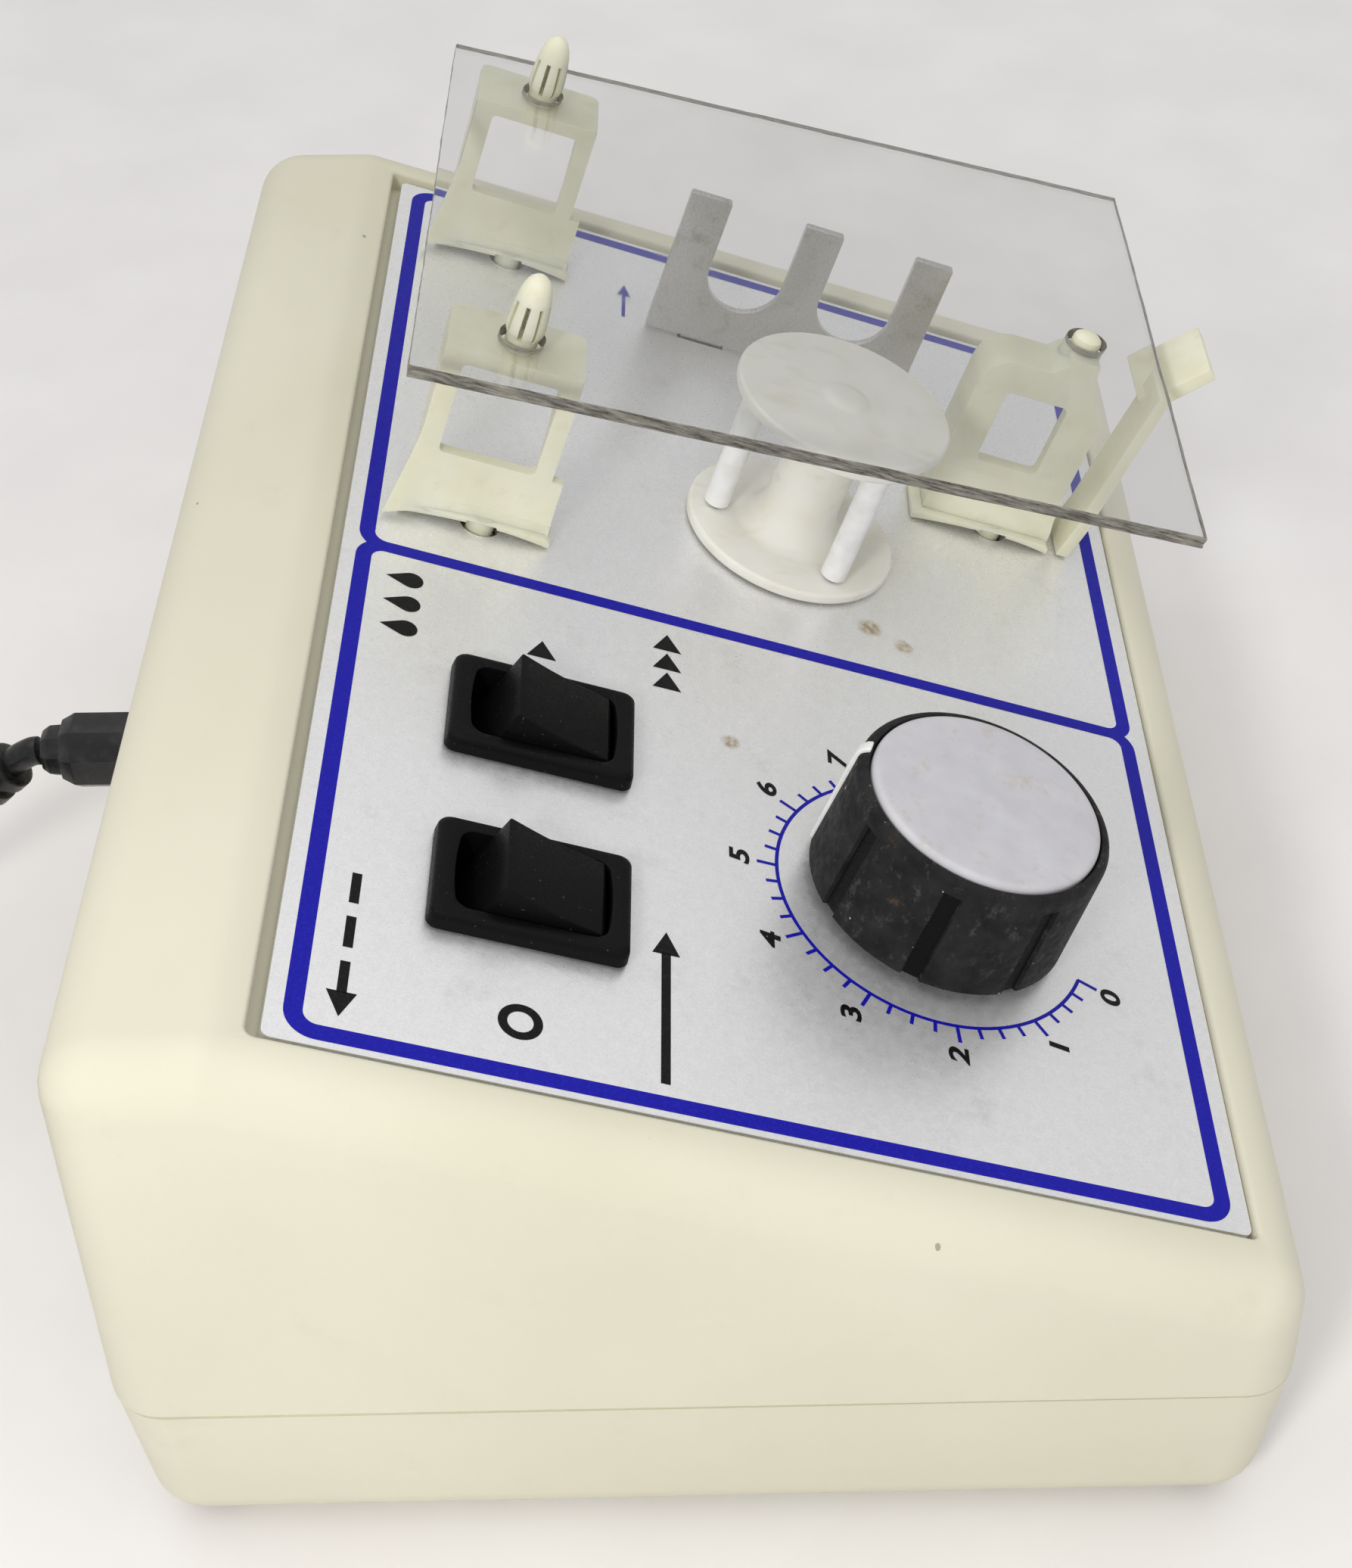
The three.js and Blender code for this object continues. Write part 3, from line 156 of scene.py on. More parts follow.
def rounded(corners, radius, steps=6, inset=0.0):
    """The outline through the corners, in counterclockwise order, with arcs of a radius; an inset
    outline keeps the arcs' centres."""
    outline = []
    radii = radius if isinstance(radius, (list, tuple)) else [radius] * len(corners)
    for i, corner in enumerate(corners):
        here = Vector(corner)
        back = (Vector(corners[i - 1]) - here).normalized()
        ahead = (Vector(corners[(i + 1) % len(corners)]) - here).normalized()
        half = back.angle(ahead) / 2
        centre = here + (back + ahead).normalized() * radii[i] / math.sin(half)
        arm = (here + back * radii[i] / math.tan(half) - centre) * (1 - inset / radii[i])
        sweep = (math.pi - 2 * half) * (1 if ahead.cross(back) > 0 else -1)
        for k in range(steps + 1):
            turned = Matrix.Rotation(sweep * k / steps, 2) @ arm
            outline.append(tuple(centre + turned))
    return outline


def rectangle(low, high):
    return [(low[0], low[1]), (high[0], low[1]), (high[0], high[1]), (low[0], high[1])]


def prism(outline, z0, z1, bevel=0.0, segments=3):
    mesh = loft([[(x, y, z) for x, y in outline] for z in (z0, z1)])
    return bevelled(mesh, bevel, segments) if bevel else mesh


def block(low, high, bevel=0.0, segments=3):
    return prism(rectangle(low, high), low[2], high[2], bevel, segments)


def bevelled(mesh, width, segments=3, angle=35):
    """The solid with its sharp edges rounded."""
    bm = bmesh.new()
    bm.from_mesh(mesh)
    edges = [e for e in bm.edges if len(e.link_faces) == 2 and e.calc_face_angle(0) > math.radians(angle)]
    bmesh.ops.bevel(bm, geom=edges, offset=width, offset_type="OFFSET", segments=segments, profile=0.5,
                    affect="EDGES", clamp_overlap=True)
    return from_bmesh(bm)


def moved(mesh, matrix):
    mesh.transform(matrix)
    if matrix.determinant() < 0:
        mesh.flip_normals()
    return mesh


def at(u=0.0, v=0.0, w=0.0):
    return Matrix.Translation((u, v, w))


def slab_u(outline, u0, u1):
    """A prism from u0 to u1, its outline given in v and w."""
    return moved(prism(outline, u0, u1), ALONG_U)


def slab_v(outline, v0, v1):
    """A prism from v0 to v1, its outline given in u and w."""
    return moved(prism(outline, v0, v1), ALONG_V)


def together(meshes):
    """Several separate solids in one mesh."""
    bm = bmesh.new()
    for mesh in meshes:
        bm.from_mesh(mesh)
    return from_bmesh(bm)


def joined(parts, cuts=()):
    """One solid made of several, with other solids cut out of it."""
    helpers = [put("helper", mesh) for mesh in [*parts, *cuts]]
    base = helpers[0]
    for i, helper in enumerate(helpers[1:], start=1):
        change = base.modifiers.new("change", "BOOLEAN")
        change.operation = "UNION" if i < len(parts) else "DIFFERENCE"
        change.solver = "EXACT"
        change.object = helper
    bpy.context.view_layer.update()
    graph = bpy.context.evaluated_depsgraph_get()
    result = bpy.data.meshes.new_from_object(base.evaluated_get(graph))
    for helper in helpers:
        bpy.data.objects.remove(helper)
    return result


def stroke(points, width, looped=False, top=INK_HIGH):
    """A flat line of ink along points in u and v."""
    rings = []
    count = len(points)
    for i, point in enumerate(points):
        before = Vector(points[i - 1] if looped or i else point)
        after = Vector(points[(i + 1) % count] if looped or i + 1 < count else point)
        side = (after - before).normalized().orthogonal() * width / 2
        left, right = Vector(point) + side, Vector(point) - side
        rings.append([(*left, INK_LOW), (*right, INK_LOW), (*right, top), (*left, top)])
    return loft(rings, looped)


def arc_points(centre, r, start, end, steps):
    """Points on an arc, with angles in degrees clockwise from straight up the slope."""
    angles = [math.radians(start + (end - start) * k / steps) for k in range(steps + 1)]
    return [(centre[0] + r * math.sin(a), centre[1] + r * math.cos(a)) for a in angles]


def show(name, mesh, space, finish, body, stands_for=(), sharp=30):
    """Puts a solid in the scene as a piece of the object."""
    moved(mesh, space)
    mesh.name = name
    mesh.materials.clear()
    for material in finish if isinstance(finish, list) else [finish]:
        mesh.materials.append(material)
    mesh.shade_smooth()
    mesh.set_sharp_from_angle(angle=math.radians(sharp))
    piece = put(name, mesh)
    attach(piece, body)
    if stands_for:
        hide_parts(*stands_for)
    return piece


# ---------------------------------------------------------------- materials
class Finish:
    """A procedural material: one Principled shader and the nodes that feed it."""

    def __init__(self, name, tilted=False, **values):
        self.material = bpy.data.materials.new(name)
        self.material.use_nodes = True
        self.tree = self.material.node_tree
        self.shader = self.tree.nodes["Principled BSDF"]
        self.normal = None
        for key, value in values.items():
            self.set(key.replace("_", " ").title().replace("Ior", "IOR"), value)
        self.place = self.node("TexCoord", "Object")
        if tilted:
            self.place = self.node("Mapping", inputs={"Vector": self.place, "Rotation": (-SLOPE, 0, 0)})

    def feed(self, socket, value):
        if isinstance(value, bpy.types.NodeSocket):
            self.tree.links.new(value, socket)
        else:
            socket.default_value = value

    def set(self, socket, value):
        if isinstance(value, tuple) and len(value) == 3 and "Color" in socket:
            value = (*value, 1.0)
        self.feed(self.shader.inputs[socket], value)

    def node(self, kind, out=0, inputs=None, **settings):
        made = self.tree.nodes.new("ShaderNode" + kind)
        for key, value in settings.items():
            setattr(made, key, value)
        for key, value in (inputs or {}).items():
            self.feed(made.inputs[key], value)
        return made.outputs[out]

    def scaled(self, size):
        sizes = size if isinstance(size, tuple) else (size,) * 3
        per_metre = tuple(1 / (s * MM) for s in sizes)
        return self.node("VectorMath", operation="MULTIPLY", inputs={0: self.place, 1: per_metre})

    def noise(self, size, detail=2.0, roughness=0.5):
        """Smooth noise, 0 to 1, with lumps of a size in millimetres, one number or three."""
        return self.node("TexNoise", inputs={
            "Vector": self.scaled(size), "Scale": 1.0, "Detail": detail, "Roughness": roughness})

    def cells(self, size, out="Color"):
        """A colour or a distance for each random cell of a size in millimetres."""
        return self.node("TexVoronoi", out, inputs={"Vector": self.scaled(size), "Scale": 1.0})

    def between(self, value, low, high, to_low=0.0, to_high=1.0):
        return self.node("MapRange", inputs={
            "Value": value, "From Min": low, "From Max": high, "To Min": to_low, "To Max": to_high})

    def times(self, a, b):
        return self.node("Math", operation="MULTIPLY", inputs={0: a, 1: b})

    def mix(self, factor, a, b):
        colours = [(*c, 1.0) if isinstance(c, tuple) else c for c in (a, b)]
        return self.node("Mix", 2, data_type="RGBA", inputs={0: factor, 6: colours[0], 7: colours[1]})

    def tones(self, value, low, high, first, second):
        """One colour where the value is low, another where it is high."""
        return self.mix(self.between(value, low, high), first, second)

    def soiled(self, colour, value, low, high, share, tint):
        """A share of a tint over the colour where the value is high."""
        return self.mix(self.times(self.between(value, low, high), share), colour, tint)

    def paint(self, colour):
        self.set("Base Color", colour)

    def gloss(self, value, low, high):
        """Roughness between two values as the noise goes from low to high."""
        self.set("Roughness", self.between(value, 0.3, 0.7, low, high))

    def bump(self, height, depth):
        """Raises the surface by height times a depth in millimetres, on top of earlier bumps."""
        inputs = {"Height": height, "Distance": depth * MM, "Strength": 1.0}
        if self.normal is not None:
            inputs["Normal"] = self.normal
        self.normal = self.node("Bump", inputs=inputs)
        self.set("Normal", self.normal)

    def spot(self, middle, radius, softness=0.5):
        """1 inside a sphere about a point in metres, fading to 0 at its edge."""
        away = self.node("VectorMath", "Value", operation="DISTANCE", inputs={0: self.place, 1: middle})
        ragged = self.node("Math", operation="ADD", inputs={
            0: away, 1: self.between(self.noise(1.6, 3.0), 0, 1, -0.35 * radius * MM, 0.35 * radius * MM)})
        return self.between(ragged, radius * MM, radius * (1 - softness) * MM)


def ivory_plastic():
    f = Finish("ivory_plastic", specular_ior_level=0.5)
    colour = f.tones(f.noise(55, 3.0), 0.35, 0.65, (0.69, 0.665, 0.52), (0.74, 0.715, 0.575))
    colour = f.soiled(colour, f.noise(1.9, 0.0), 0.895, 0.91, 0.6, (0.16, 0.13, 0.08))
    f.paint(f.soiled(colour, f.noise(9, 5.0, 0.7), 0.6, 0.78, 0.1, (0.42, 0.36, 0.24)))
    f.gloss(f.noise(4, 3.0), 0.42, 0.54)
    f.bump(f.noise(0.55, 2.0), 0.018)
    f.bump(f.noise(14, 1.0), 0.05)
    return f.material


def silver_foil():
    f = Finish("silver_foil", tilted=True)
    value = f.node("SeparateColor", 0, inputs={0: f.cells(0.16)})
    colour = f.tones(value, 0.0, 1.0, (0.88, 0.88, 0.89), (0.97, 0.97, 0.98))
    colour = f.tones(value, 0.9, 0.95, colour, (0.95, 0.95, 0.97))
    for middle, radius in (((47.2, 4.4, 0), 1.9), ((45.1, 0.0, 0), 1.5), ((18.8, 23.3, 0), 1.3)):
        turned_back = Matrix.Rotation(-SLOPE, 4, "X") @ (PANEL @ Vector(middle))
        patchy = f.between(f.noise(0.8, 3.0), 0.35, 0.6, 0.25, 0.8)
        colour = f.mix(f.times(f.spot(tuple(turned_back), radius), patchy), colour, (0.4, 0.27, 0.1))
    f.paint(f.soiled(colour, f.noise(11, 6.0, 0.75), 0.58, 0.72, 0.17, (0.33, 0.31, 0.26)))
    f.set("Metallic", f.between(f.noise(0.9), 0.3, 0.7, 0.62, 0.72))
    f.set("Roughness", f.between(value, 0.85, 1.0, 0.36, 0.26))
    f.bump(value, 0.004)
    return f.material


def ink(name, colour, faded):
    f = Finish(name, tilted=True, specular_ior_level=0.2)
    f.paint(f.tones(f.noise(0.35, 3.0), 0.5, 0.75, colour, faded))
    f.gloss(f.noise(0.5), 0.35, 0.5)
    f.bump(f.noise(0.2), 0.006)
    return f.material


def nylon():
    f = Finish("nylon", tilted=True, subsurface_weight=0.3, subsurface_radius=(1.0, 0.8, 0.45),
               subsurface_scale=0.0025, specular_ior_level=0.45, ior=1.5)
    colour = f.tones(f.noise(6, 3.0), 0.35, 0.65, (0.77, 0.76, 0.58), (0.83, 0.82, 0.66))
    f.paint(f.soiled(colour, f.noise(3.5, 4.0, 0.6), 0.6, 0.75, 0.3, (0.58, 0.47, 0.24)))
    f.gloss(f.noise(1.2, 3.0), 0.32, 0.48)
    f.bump(f.noise(1.6, 3.0), 0.03)
    return f.material


def acetal():
    f = Finish("acetal", tilted=True, subsurface_weight=0.12, subsurface_radius=(1.0, 0.9, 0.7),
               subsurface_scale=0.0012)
    colour = f.tones(f.noise(5, 3.0), 0.4, 0.65, (0.87, 0.86, 0.8), (0.84, 0.82, 0.74))
    f.paint(f.soiled(colour, f.noise((2.5, 7, 2.5), 4.0), 0.58, 0.72, 0.35, (0.7, 0.64, 0.5)))
    f.gloss(f.noise(1.4, 3.0), 0.32, 0.46)
    f.bump(f.noise((0.6, 3, 0.6), 2.0), 0.012)
    return f.material


def roller_white():
    f = Finish("roller_white", tilted=True)
    f.paint(f.tones(f.noise(2.5, 2.0), 0.4, 0.7, (0.9, 0.9, 0.9), (0.8, 0.79, 0.77)))
    f.gloss(f.noise(0.8), 0.28, 0.42)
    f.bump(f.noise((0.3, 0.3, 4), 2.0), 0.006)
    return f.material


def switch_black():
    f = Finish("switch_black", specular_ior_level=0.12)
    grain = f.noise(0.22, 2.0)
    f.paint(f.tones(f.noise(0.45, 2.0), 0.7, 0.78, (0.0035, 0.0035, 0.004), (0.06, 0.06, 0.057)))
    f.gloss(grain, 0.36, 0.6)
    f.bump(grain, 0.022)
    return f.material


def scuffed_charcoal():
    f = Finish("scuffed_charcoal", tilted=True, specular_ior_level=0.2)
    colour = f.tones(f.noise(3, 4.0), 0.35, 0.7, (0.009, 0.009, 0.01), (0.022, 0.021, 0.021))
    colour = f.soiled(colour, f.noise((1.6, 1.6, 2.4), 8.0, 0.8), 0.55, 0.72, 0.45, (0.16, 0.155, 0.15))
    colour = f.soiled(colour, f.noise(2.1, 5.0, 0.7), 0.62, 0.72, 0.5, (0.12, 0.065, 0.03))
    f.paint(f.tones(f.noise(0.6, 2.0), 0.75, 0.79, colour, (0.55, 0.55, 0.54)))
    f.gloss(f.noise(1, 4.0), 0.5, 0.75)
    f.bump(f.noise((0.4, 0.4, 2.0), 5.0, 0.7), 0.03)
    return f.material


def cap_grey():
    f = Finish("cap_grey", tilted=True)
    colour = f.tones(f.noise(4, 3.0), 0.35, 0.7, (0.54, 0.53, 0.565), (0.6, 0.59, 0.62))
    f.paint(f.soiled(colour, f.noise(2.6, 5.0, 0.7), 0.56, 0.72, 0.55, (0.47, 0.41, 0.31)))
    f.gloss(f.noise(0.9, 3.0), 0.38, 0.55)
    f.bump(f.noise(0.5, 3.0), 0.014)
    return f.material


def brushed_steel(name="brushed_steel", grain=(5, 0.25, 0.25), tone=(0.74, 0.715, 0.68)):
    f = Finish(name, tilted=True, metallic=1.0)
    streaks = f.noise(grain, 3.0, 0.6)
    colour = f.tones(streaks, 0.3, 0.7, tuple(0.72 * c for c in tone), tone)
    f.paint(f.soiled(colour, f.noise(3, 5.0, 0.7), 0.55, 0.72, 0.45, (0.26, 0.2, 0.13)))
    f.gloss(streaks, 0.3, 0.44)
    f.bump(streaks, 0.008)
    return f.material


def machined_brass():
    f = Finish("machined_brass", tilted=True, metallic=1.0)
    lines = f.noise((0.3, 0.3, 2.5), 3.0)
    f.paint(f.tones(lines, 0.3, 0.7, (0.5, 0.36, 0.15), (0.68, 0.52, 0.25)))
    f.gloss(lines, 0.26, 0.42)
    f.bump(lines, 0.008)
    return f.material


def clear_acrylic():
    """Clear sheet: it lets lamp light through, so that what lies below it isn't black."""
    f = Finish("clear_acrylic", tilted=True, transmission_weight=1.0, ior=1.49)
    f.paint(f.tones(f.noise(8, 3.0), 0.3, 0.7, (0.9, 0.905, 0.9), (0.87, 0.875, 0.87)))
    f.set("Roughness", f.between(f.noise(9, 6.0, 0.7), 0.5, 0.75, 0.0, 0.07))
    f.bump(f.noise(18, 1.0), 0.02)
    lamp_share = 0.84
    nodes, links = f.tree.nodes, f.tree.links
    clear = nodes.new("ShaderNodeBsdfTransparent")
    clear.inputs["Color"].default_value = (lamp_share, lamp_share, lamp_share, 1)
    blend = nodes.new("ShaderNodeMixShader")
    for i, socket in enumerate((f.node("LightPath", "Is Shadow Ray"), f.shader.outputs[0], clear.outputs[0])):
        links.new(socket, blend.inputs[i])
    links.new(blend.outputs[0], nodes["Material Output"].inputs["Surface"])
    return f.material


def sawn_edge():
    """The rough sawn edge of the clear sheet."""
    f = Finish("sawn_edge", tilted=True, transmission_weight=0.45, ior=1.49)
    grain = f.noise((3, 3, 0.3), 5.0, 0.75)
    f.paint(f.tones(grain, 0.38, 0.66, (0.13, 0.115, 0.09), (0.66, 0.63, 0.56)))
    f.gloss(grain, 0.2, 0.55)
    f.bump(grain, 0.12)
    return f.material


def moulded_black(name="moulded_black", low=0.24, high=0.4):
    f = Finish(name)
    f.paint(f.tones(f.noise(2, 4.0), 0.5, 0.75, (0.006, 0.006, 0.007), (0.022, 0.021, 0.02)))
    f.gloss(f.noise(0.8, 3.0), low, high)
    f.bump(f.noise(0.4, 2.0), 0.012)
    return f.material


def plain_stock(name, dark, light, grain, rough, depth=0.015):
    """A simple stock material: two tones in noise of a grain, with matching roughness and relief."""
    f = Finish(name)
    texture = f.noise(grain, 3.0)
    f.paint(f.tones(texture, 0.3, 0.7, dark, light))
    f.gloss(texture, *rough)
    f.bump(texture, depth)
    return f.material


IVORY = ivory_plastic()
FOIL = silver_foil()
BLUE_INK = ink("blue_ink", (0.006, 0.005, 0.34), (0.014, 0.012, 0.42))
BLACK_INK = ink("black_ink", (0.002, 0.002, 0.003), (0.012, 0.012, 0.013))
NYLON = nylon()
ACETAL = acetal()
ROLLER = roller_white()
SWITCH = switch_black()
CHARCOAL = scuffed_charcoal()
CAP = cap_grey()
STEEL = brushed_steel()
ZINC = brushed_steel("zinc_plate", (0.8, 0.8, 0.8), (0.56, 0.56, 0.58))
BRASS = machined_brass()
ACRYLIC = clear_acrylic()
SAWN = sawn_edge()
BLACK = moulded_black()
JACKET = moulded_black("cord_jacket", 0.2, 0.32)
RUBBER = plain_stock("foot_rubber", (0.015, 0.015, 0.015), (0.03, 0.03, 0.03), 0.6, (0.75, 0.95))
LAMINATE = plain_stock("board_laminate", (0.012, 0.09, 0.035), (0.02, 0.13, 0.05), 1.2, (0.25, 0.4))
SLEEVE = plain_stock("capacitor_sleeve", (0.012, 0.02, 0.1), (0.02, 0.035, 0.15), 1.5, (0.3, 0.42))

# ---------------------------------------------------------------- power cord
CORD_R = 1.8
JACK_Z = 41
COIL_AT = (-46, 133)
COIL_R = 21
TURNS_ACROSS = 4
BOOT_PATH = [(-3, 82.1, 41), (-3, 83.2, 40.8), (-3, 85.4, 39.4), (-3, 89, 36), (-3, 95.4, 29.8),
             (-3, 102.4, 22.7)]
CORD_PATH = [(-3, 102.8, 22.3), (-3, 107.2, 18.2), (-3.4, 113, 13.4), (-4.7, 119.5, 9), (-6.9, 125.8, 5.6),
             (-9.8, 131.6, 3.3), (-13, 136.6, 2.2), (-16.6, 140.8, 1.85)]
TAIL_PATH = [(-72, 148.6, 4.7), (-75.4, 146.8, 4.3), (-78.8, 145.6, 4.1), (-81.4, 145, 4), (-83.6, 145, 4)]


def smooth_line(points, per_span=6):
    """Points along a Catmull-Rom curve through the given points."""
    knots = [Vector(p) for p in points]
    knots = [2 * knots[0] - knots[1], *knots, 2 * knots[-1] - knots[-2]]
    line = []
    for a, b, c, d in zip(knots, knots[1:], knots[2:], knots[3:]):
        for k in range(per_span):
            t = k / per_span
            line.append(0.5 * (2 * b + (c - a) * t + (2 * a - 5 * b + 4 * c - d) * t ** 2
                               + (3 * b - a - 3 * c + d) * t ** 3))
    return line + [knots[-2]]


def coil_line():
    """The wound turns: the bottom layer from the outside in, then column by column back out."""
    pitch = 2 * CORD_R
    radii = [COIL_R + pitch * (k - (TURNS_ACROSS - 1) / 2) for k in range(TURNS_ACROSS)]
    heights = [CORD_R + 0.06 + pitch * k for k in range(3)]
    places = [(r, heights[0]) for r in reversed(radii)]
    for k, r in enumerate(radii):
        upper = heights[1:] if k % 2 == 0 else heights[:0:-1]
        places += [(r, z) for z in upper]
    start, end = 45, 120         # degrees round the coil where the cord comes in and where it leaves
    step, shift = 335, 25        # degrees in one place, and for the move into the next
    line = []
    for degrees in range(0, 360 * (len(places) - 1) + end - start, 5):
        here = min(degrees // step, len(places) - 1)
        moved_in = min(1.0, (degrees - here * step) / shift)
        ease = moved_in * moved_in * (3 - 2 * moved_in)
        r, z = (places[max(here - 1, 0)][i] * (1 - ease) + places[here][i] * ease for i in range(2))
        a = math.radians(start + degrees)
        line.append(Vector((COIL_AT[0] + r * math.cos(a), COIL_AT[1] + r * math.sin(a), z)))
    return line


def make_cord():
    points = smooth_line(CORD_PATH)[:-1] + coil_line() + smooth_line(TAIL_PATH)
    curve = bpy.data.curves.new("power_cord", "CURVE")
    curve.dimensions = "3D"
    curve.bevel_depth = CORD_R * MM
    curve.bevel_resolution = 5
    curve.use_fill_caps = True
    spline = curve.splines.new("POLY")
    spline.points.add(len(points) - 1)
    for place, point in zip(spline.points, points):
        place.co = (*(CASE @ point), 1)
    spline.use_smooth = True
    curve.materials.append(JACKET)
    cord = put("power_cord", curve)
    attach(cord, "case")
    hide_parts("cord", "cord_coil", "cord_tail")
    return cord


def ring_along(line, i, r, steps=32):
    """A ring of points about a line, square to it at point i."""
    before, after = line[max(i - 1, 0)], line[min(i + 1, len(line) - 1)]
    side = Vector((1, 0, 0))
    up = (after - before).normalized().cross(side).normalized()
    return [line[i] + side * x + up * y for x, y, _ in circle(r, 0, steps)]


def strain_relief():
    """A bare neck, then a boot of soft ribs that grow smaller towards the cord."""
    line = smooth_line(BOOT_PATH, 40)
    lengths = [0.0]
    for a, b in zip(line, line[1:]):
        lengths.append(lengths[-1] + (b - a).length)
    neck, ribs, rib_depth = 4.4, 7, 0.8
    pitch = (lengths[-1] - neck) / ribs
    rings = []
    for i, s in enumerate(lengths):
        r = CORD_R
        if neck < s < lengths[-1] - 0.15:
            rib, within = divmod((s - neck) / pitch, 1)
            crest = 3.2 - 0.9 * rib / (ribs - 1)
            hump = min(1.0, within / 0.1, max(0.0, (0.66 - within) / 0.08))
            r = crest - rib_depth * (1 - max(0.0, hump) ** 0.5)
        rings.append(ring_along(line, i, r))
    return loft(rings)


def power_plug():
    """An eight-sided moulded body with a shallow groove, a stepped shoulder and a metal barrel."""
    low, high = extent("power_plug", CASE)
    start = extent("power_jack", CASE)[1].y + 0.3
    x = middle_of("power_jack", CASE)[0]
    r = (high.x - low.x) / 2 / math.cos(math.pi / 8)
    length = high.y - start
    profile = [(0, 0), (r - 0.5, 0), (r, 0.5), (r, 3), (r - 0.35, 3.2), (r - 0.35, 4.2), (r, 4.4),
               (r, length - 4.2), (r - 0.25, length - 3.8), (r - 0.9, length - 2.6),
               (r - 1.5, length - 2.5), (r - 1.6, length - 1), (2.7, length - 0.2), (2.5, length),
               (0, length)]
    body = bevelled(lathe(profile, 8, turn=math.pi / 8), 0.12, 2, 12)
    barrel = lathe([(0, -9), (2.4, -9), (2.75, -8.6), (2.75, 0.2), (0, 0.2)], 40)
    return moved(joined([body, barrel]), at(x, start, JACK_Z) @ Matrix.Rotation(math.radians(-90), 4, "X"))


def adapter_body():
    """A box with rounded edges, a seam near its top, and slots for its two blades."""
    low, high = extent("wall_adapter", CASE)
    edge, corner_r, seam_z = 2.2, 4, high.z - 7.4

    def ring(z, inset):
        return [(x, y, z) for x, y in rounded(rectangle(low, high), corner_r, 8, inset)]

    rings = [ring(low.z + edge * (1 - math.cos(a)), edge * (1 - math.sin(a))) for a in quarter(5)]
    rings += [ring(high.z - edge * (1 - math.cos(a)), edge * (1 - math.sin(a))) for a in reversed(quarter(5))]
    grow = Vector((0.3, 0.3, 0.3))
    blades = [extent(f"adapter_blade_{number}", CASE) for number in (1, 2)]
    cuts = [block(blade_low - grow, blade_high + grow) for blade_low, blade_high in blades]
    cuts.append(loft([ring(z, inset) for z, inset in (
        (seam_z, -0.2), (seam_z, 0.45), (seam_z + 0.5, 0.45), (seam_z + 0.5, -0.2))], looped=True))
    entry = lathe([(0, -5), (4, -5), (4, 0), (3.2, 1.5), (0, 1.5)], 32)
    entry = moved(entry, at(high.x - 1.7, *TAIL_PATH[-1][1:]) @ Matrix.Rotation(math.pi / 2, 4, "Y"))
    return joined([joined([loft(rings)], cuts), entry])


def cord_tie():
    """A hook-and-loop strap around the coil."""
    low, high = extent("cord_tie", CASE)
    thick = 0.9
    outer = rounded(rectangle(low.yz, high.yz), 2.4)
    inner = rounded(rectangle((low.y + thick, low.z + thick * 0.2), (high.y - thick, high.z - thick)), 1.6)
    rings = [[(low.x, *a), (high.x, *a), (high.x, *b), (low.x, *b)] for a, b in zip(outer, inner)]
    return bevelled(loft(rings, looped=True), 0.12, 2, 50)


cord = make_cord()
boot, plug, adapter, tie = [
    show(name, make(), CASE, BLACK, "case", [node], sharp) for name, make, node, sharp in (
        ("cord_strain_relief", strain_relief, "strain_relief", 50),
        ("barrel_plug", power_plug, "power_plug", 30),
        ("adapter_body", adapter_body, "wall_adapter", 30),
        ("coil_strap", cord_tie, "cord_tie", 30))]

# ---------------------------------------------------------------- case
CASE_W = 180
CASE_D = 125
EDGE_R = 6
WALL = 2.5
UPPER_DRAFT = math.radians(1.75)
LOWER_DRAFT = math.radians(4)
CASE_TOP = 75.8
SLOPE_PROUD = 0.8
SLOPE_V = (-37.7, 75.1)
CASE_BOTTOM = extent("base_pan", CASE)[0].z
SEAM_LOW = extent("base_pan", CASE)[1].z
SEAM_HIGH = extent("top_cover", CASE)[0].z
SEAM_Z = (SEAM_LOW + SEAM_HIGH) / 2
SEAM_GAP = 0.7
PANEL_LOW, PANEL_HIGH = extent("front_panel")
RECESS_LOW = PANEL_LOW.xy - Vector((0.8, 0.3))
RECESS_HIGH = PANEL_HIGH.xy + Vector((0.8, 1.4))


def slope_point(v, w):
    """The (y, z) place in the case of a point on the panel's axes."""
    place = CASE.inverted() @ (PANEL @ Vector((0, v, w)))
    return place.y, place.z


def case_form(corners, draft, shrink=0.0):
    """One half of the case: its side outline run across the width, with round edges and drawn-in sides."""
    steps = 9
    rings = []
    taper = math.tan(draft) / (CASE_W / 2)
    for side, angles in ((-1, quarter(steps)), (1, reversed(quarter(steps)))):
        for a in angles:
            inset = EDGE_R - (EDGE_R - shrink) * math.sin(a)
            x = side * (CASE_W / 2 - EDGE_R + (EDGE_R - shrink) * math.cos(a))
            outline = rounded(corners, EDGE_R + 0.3, steps, inset)
            rings.append([(x * (1 - taper * abs(z - SEAM_Z)), y, z) for y, z in outline])
    return loft(rings)


def wall_corner(side, z, draft):
    """The (y, z) place on a drafted front or rear wall."""
    return side * (CASE_D / 2 - math.tan(draft) * abs(z - SEAM_Z)), z


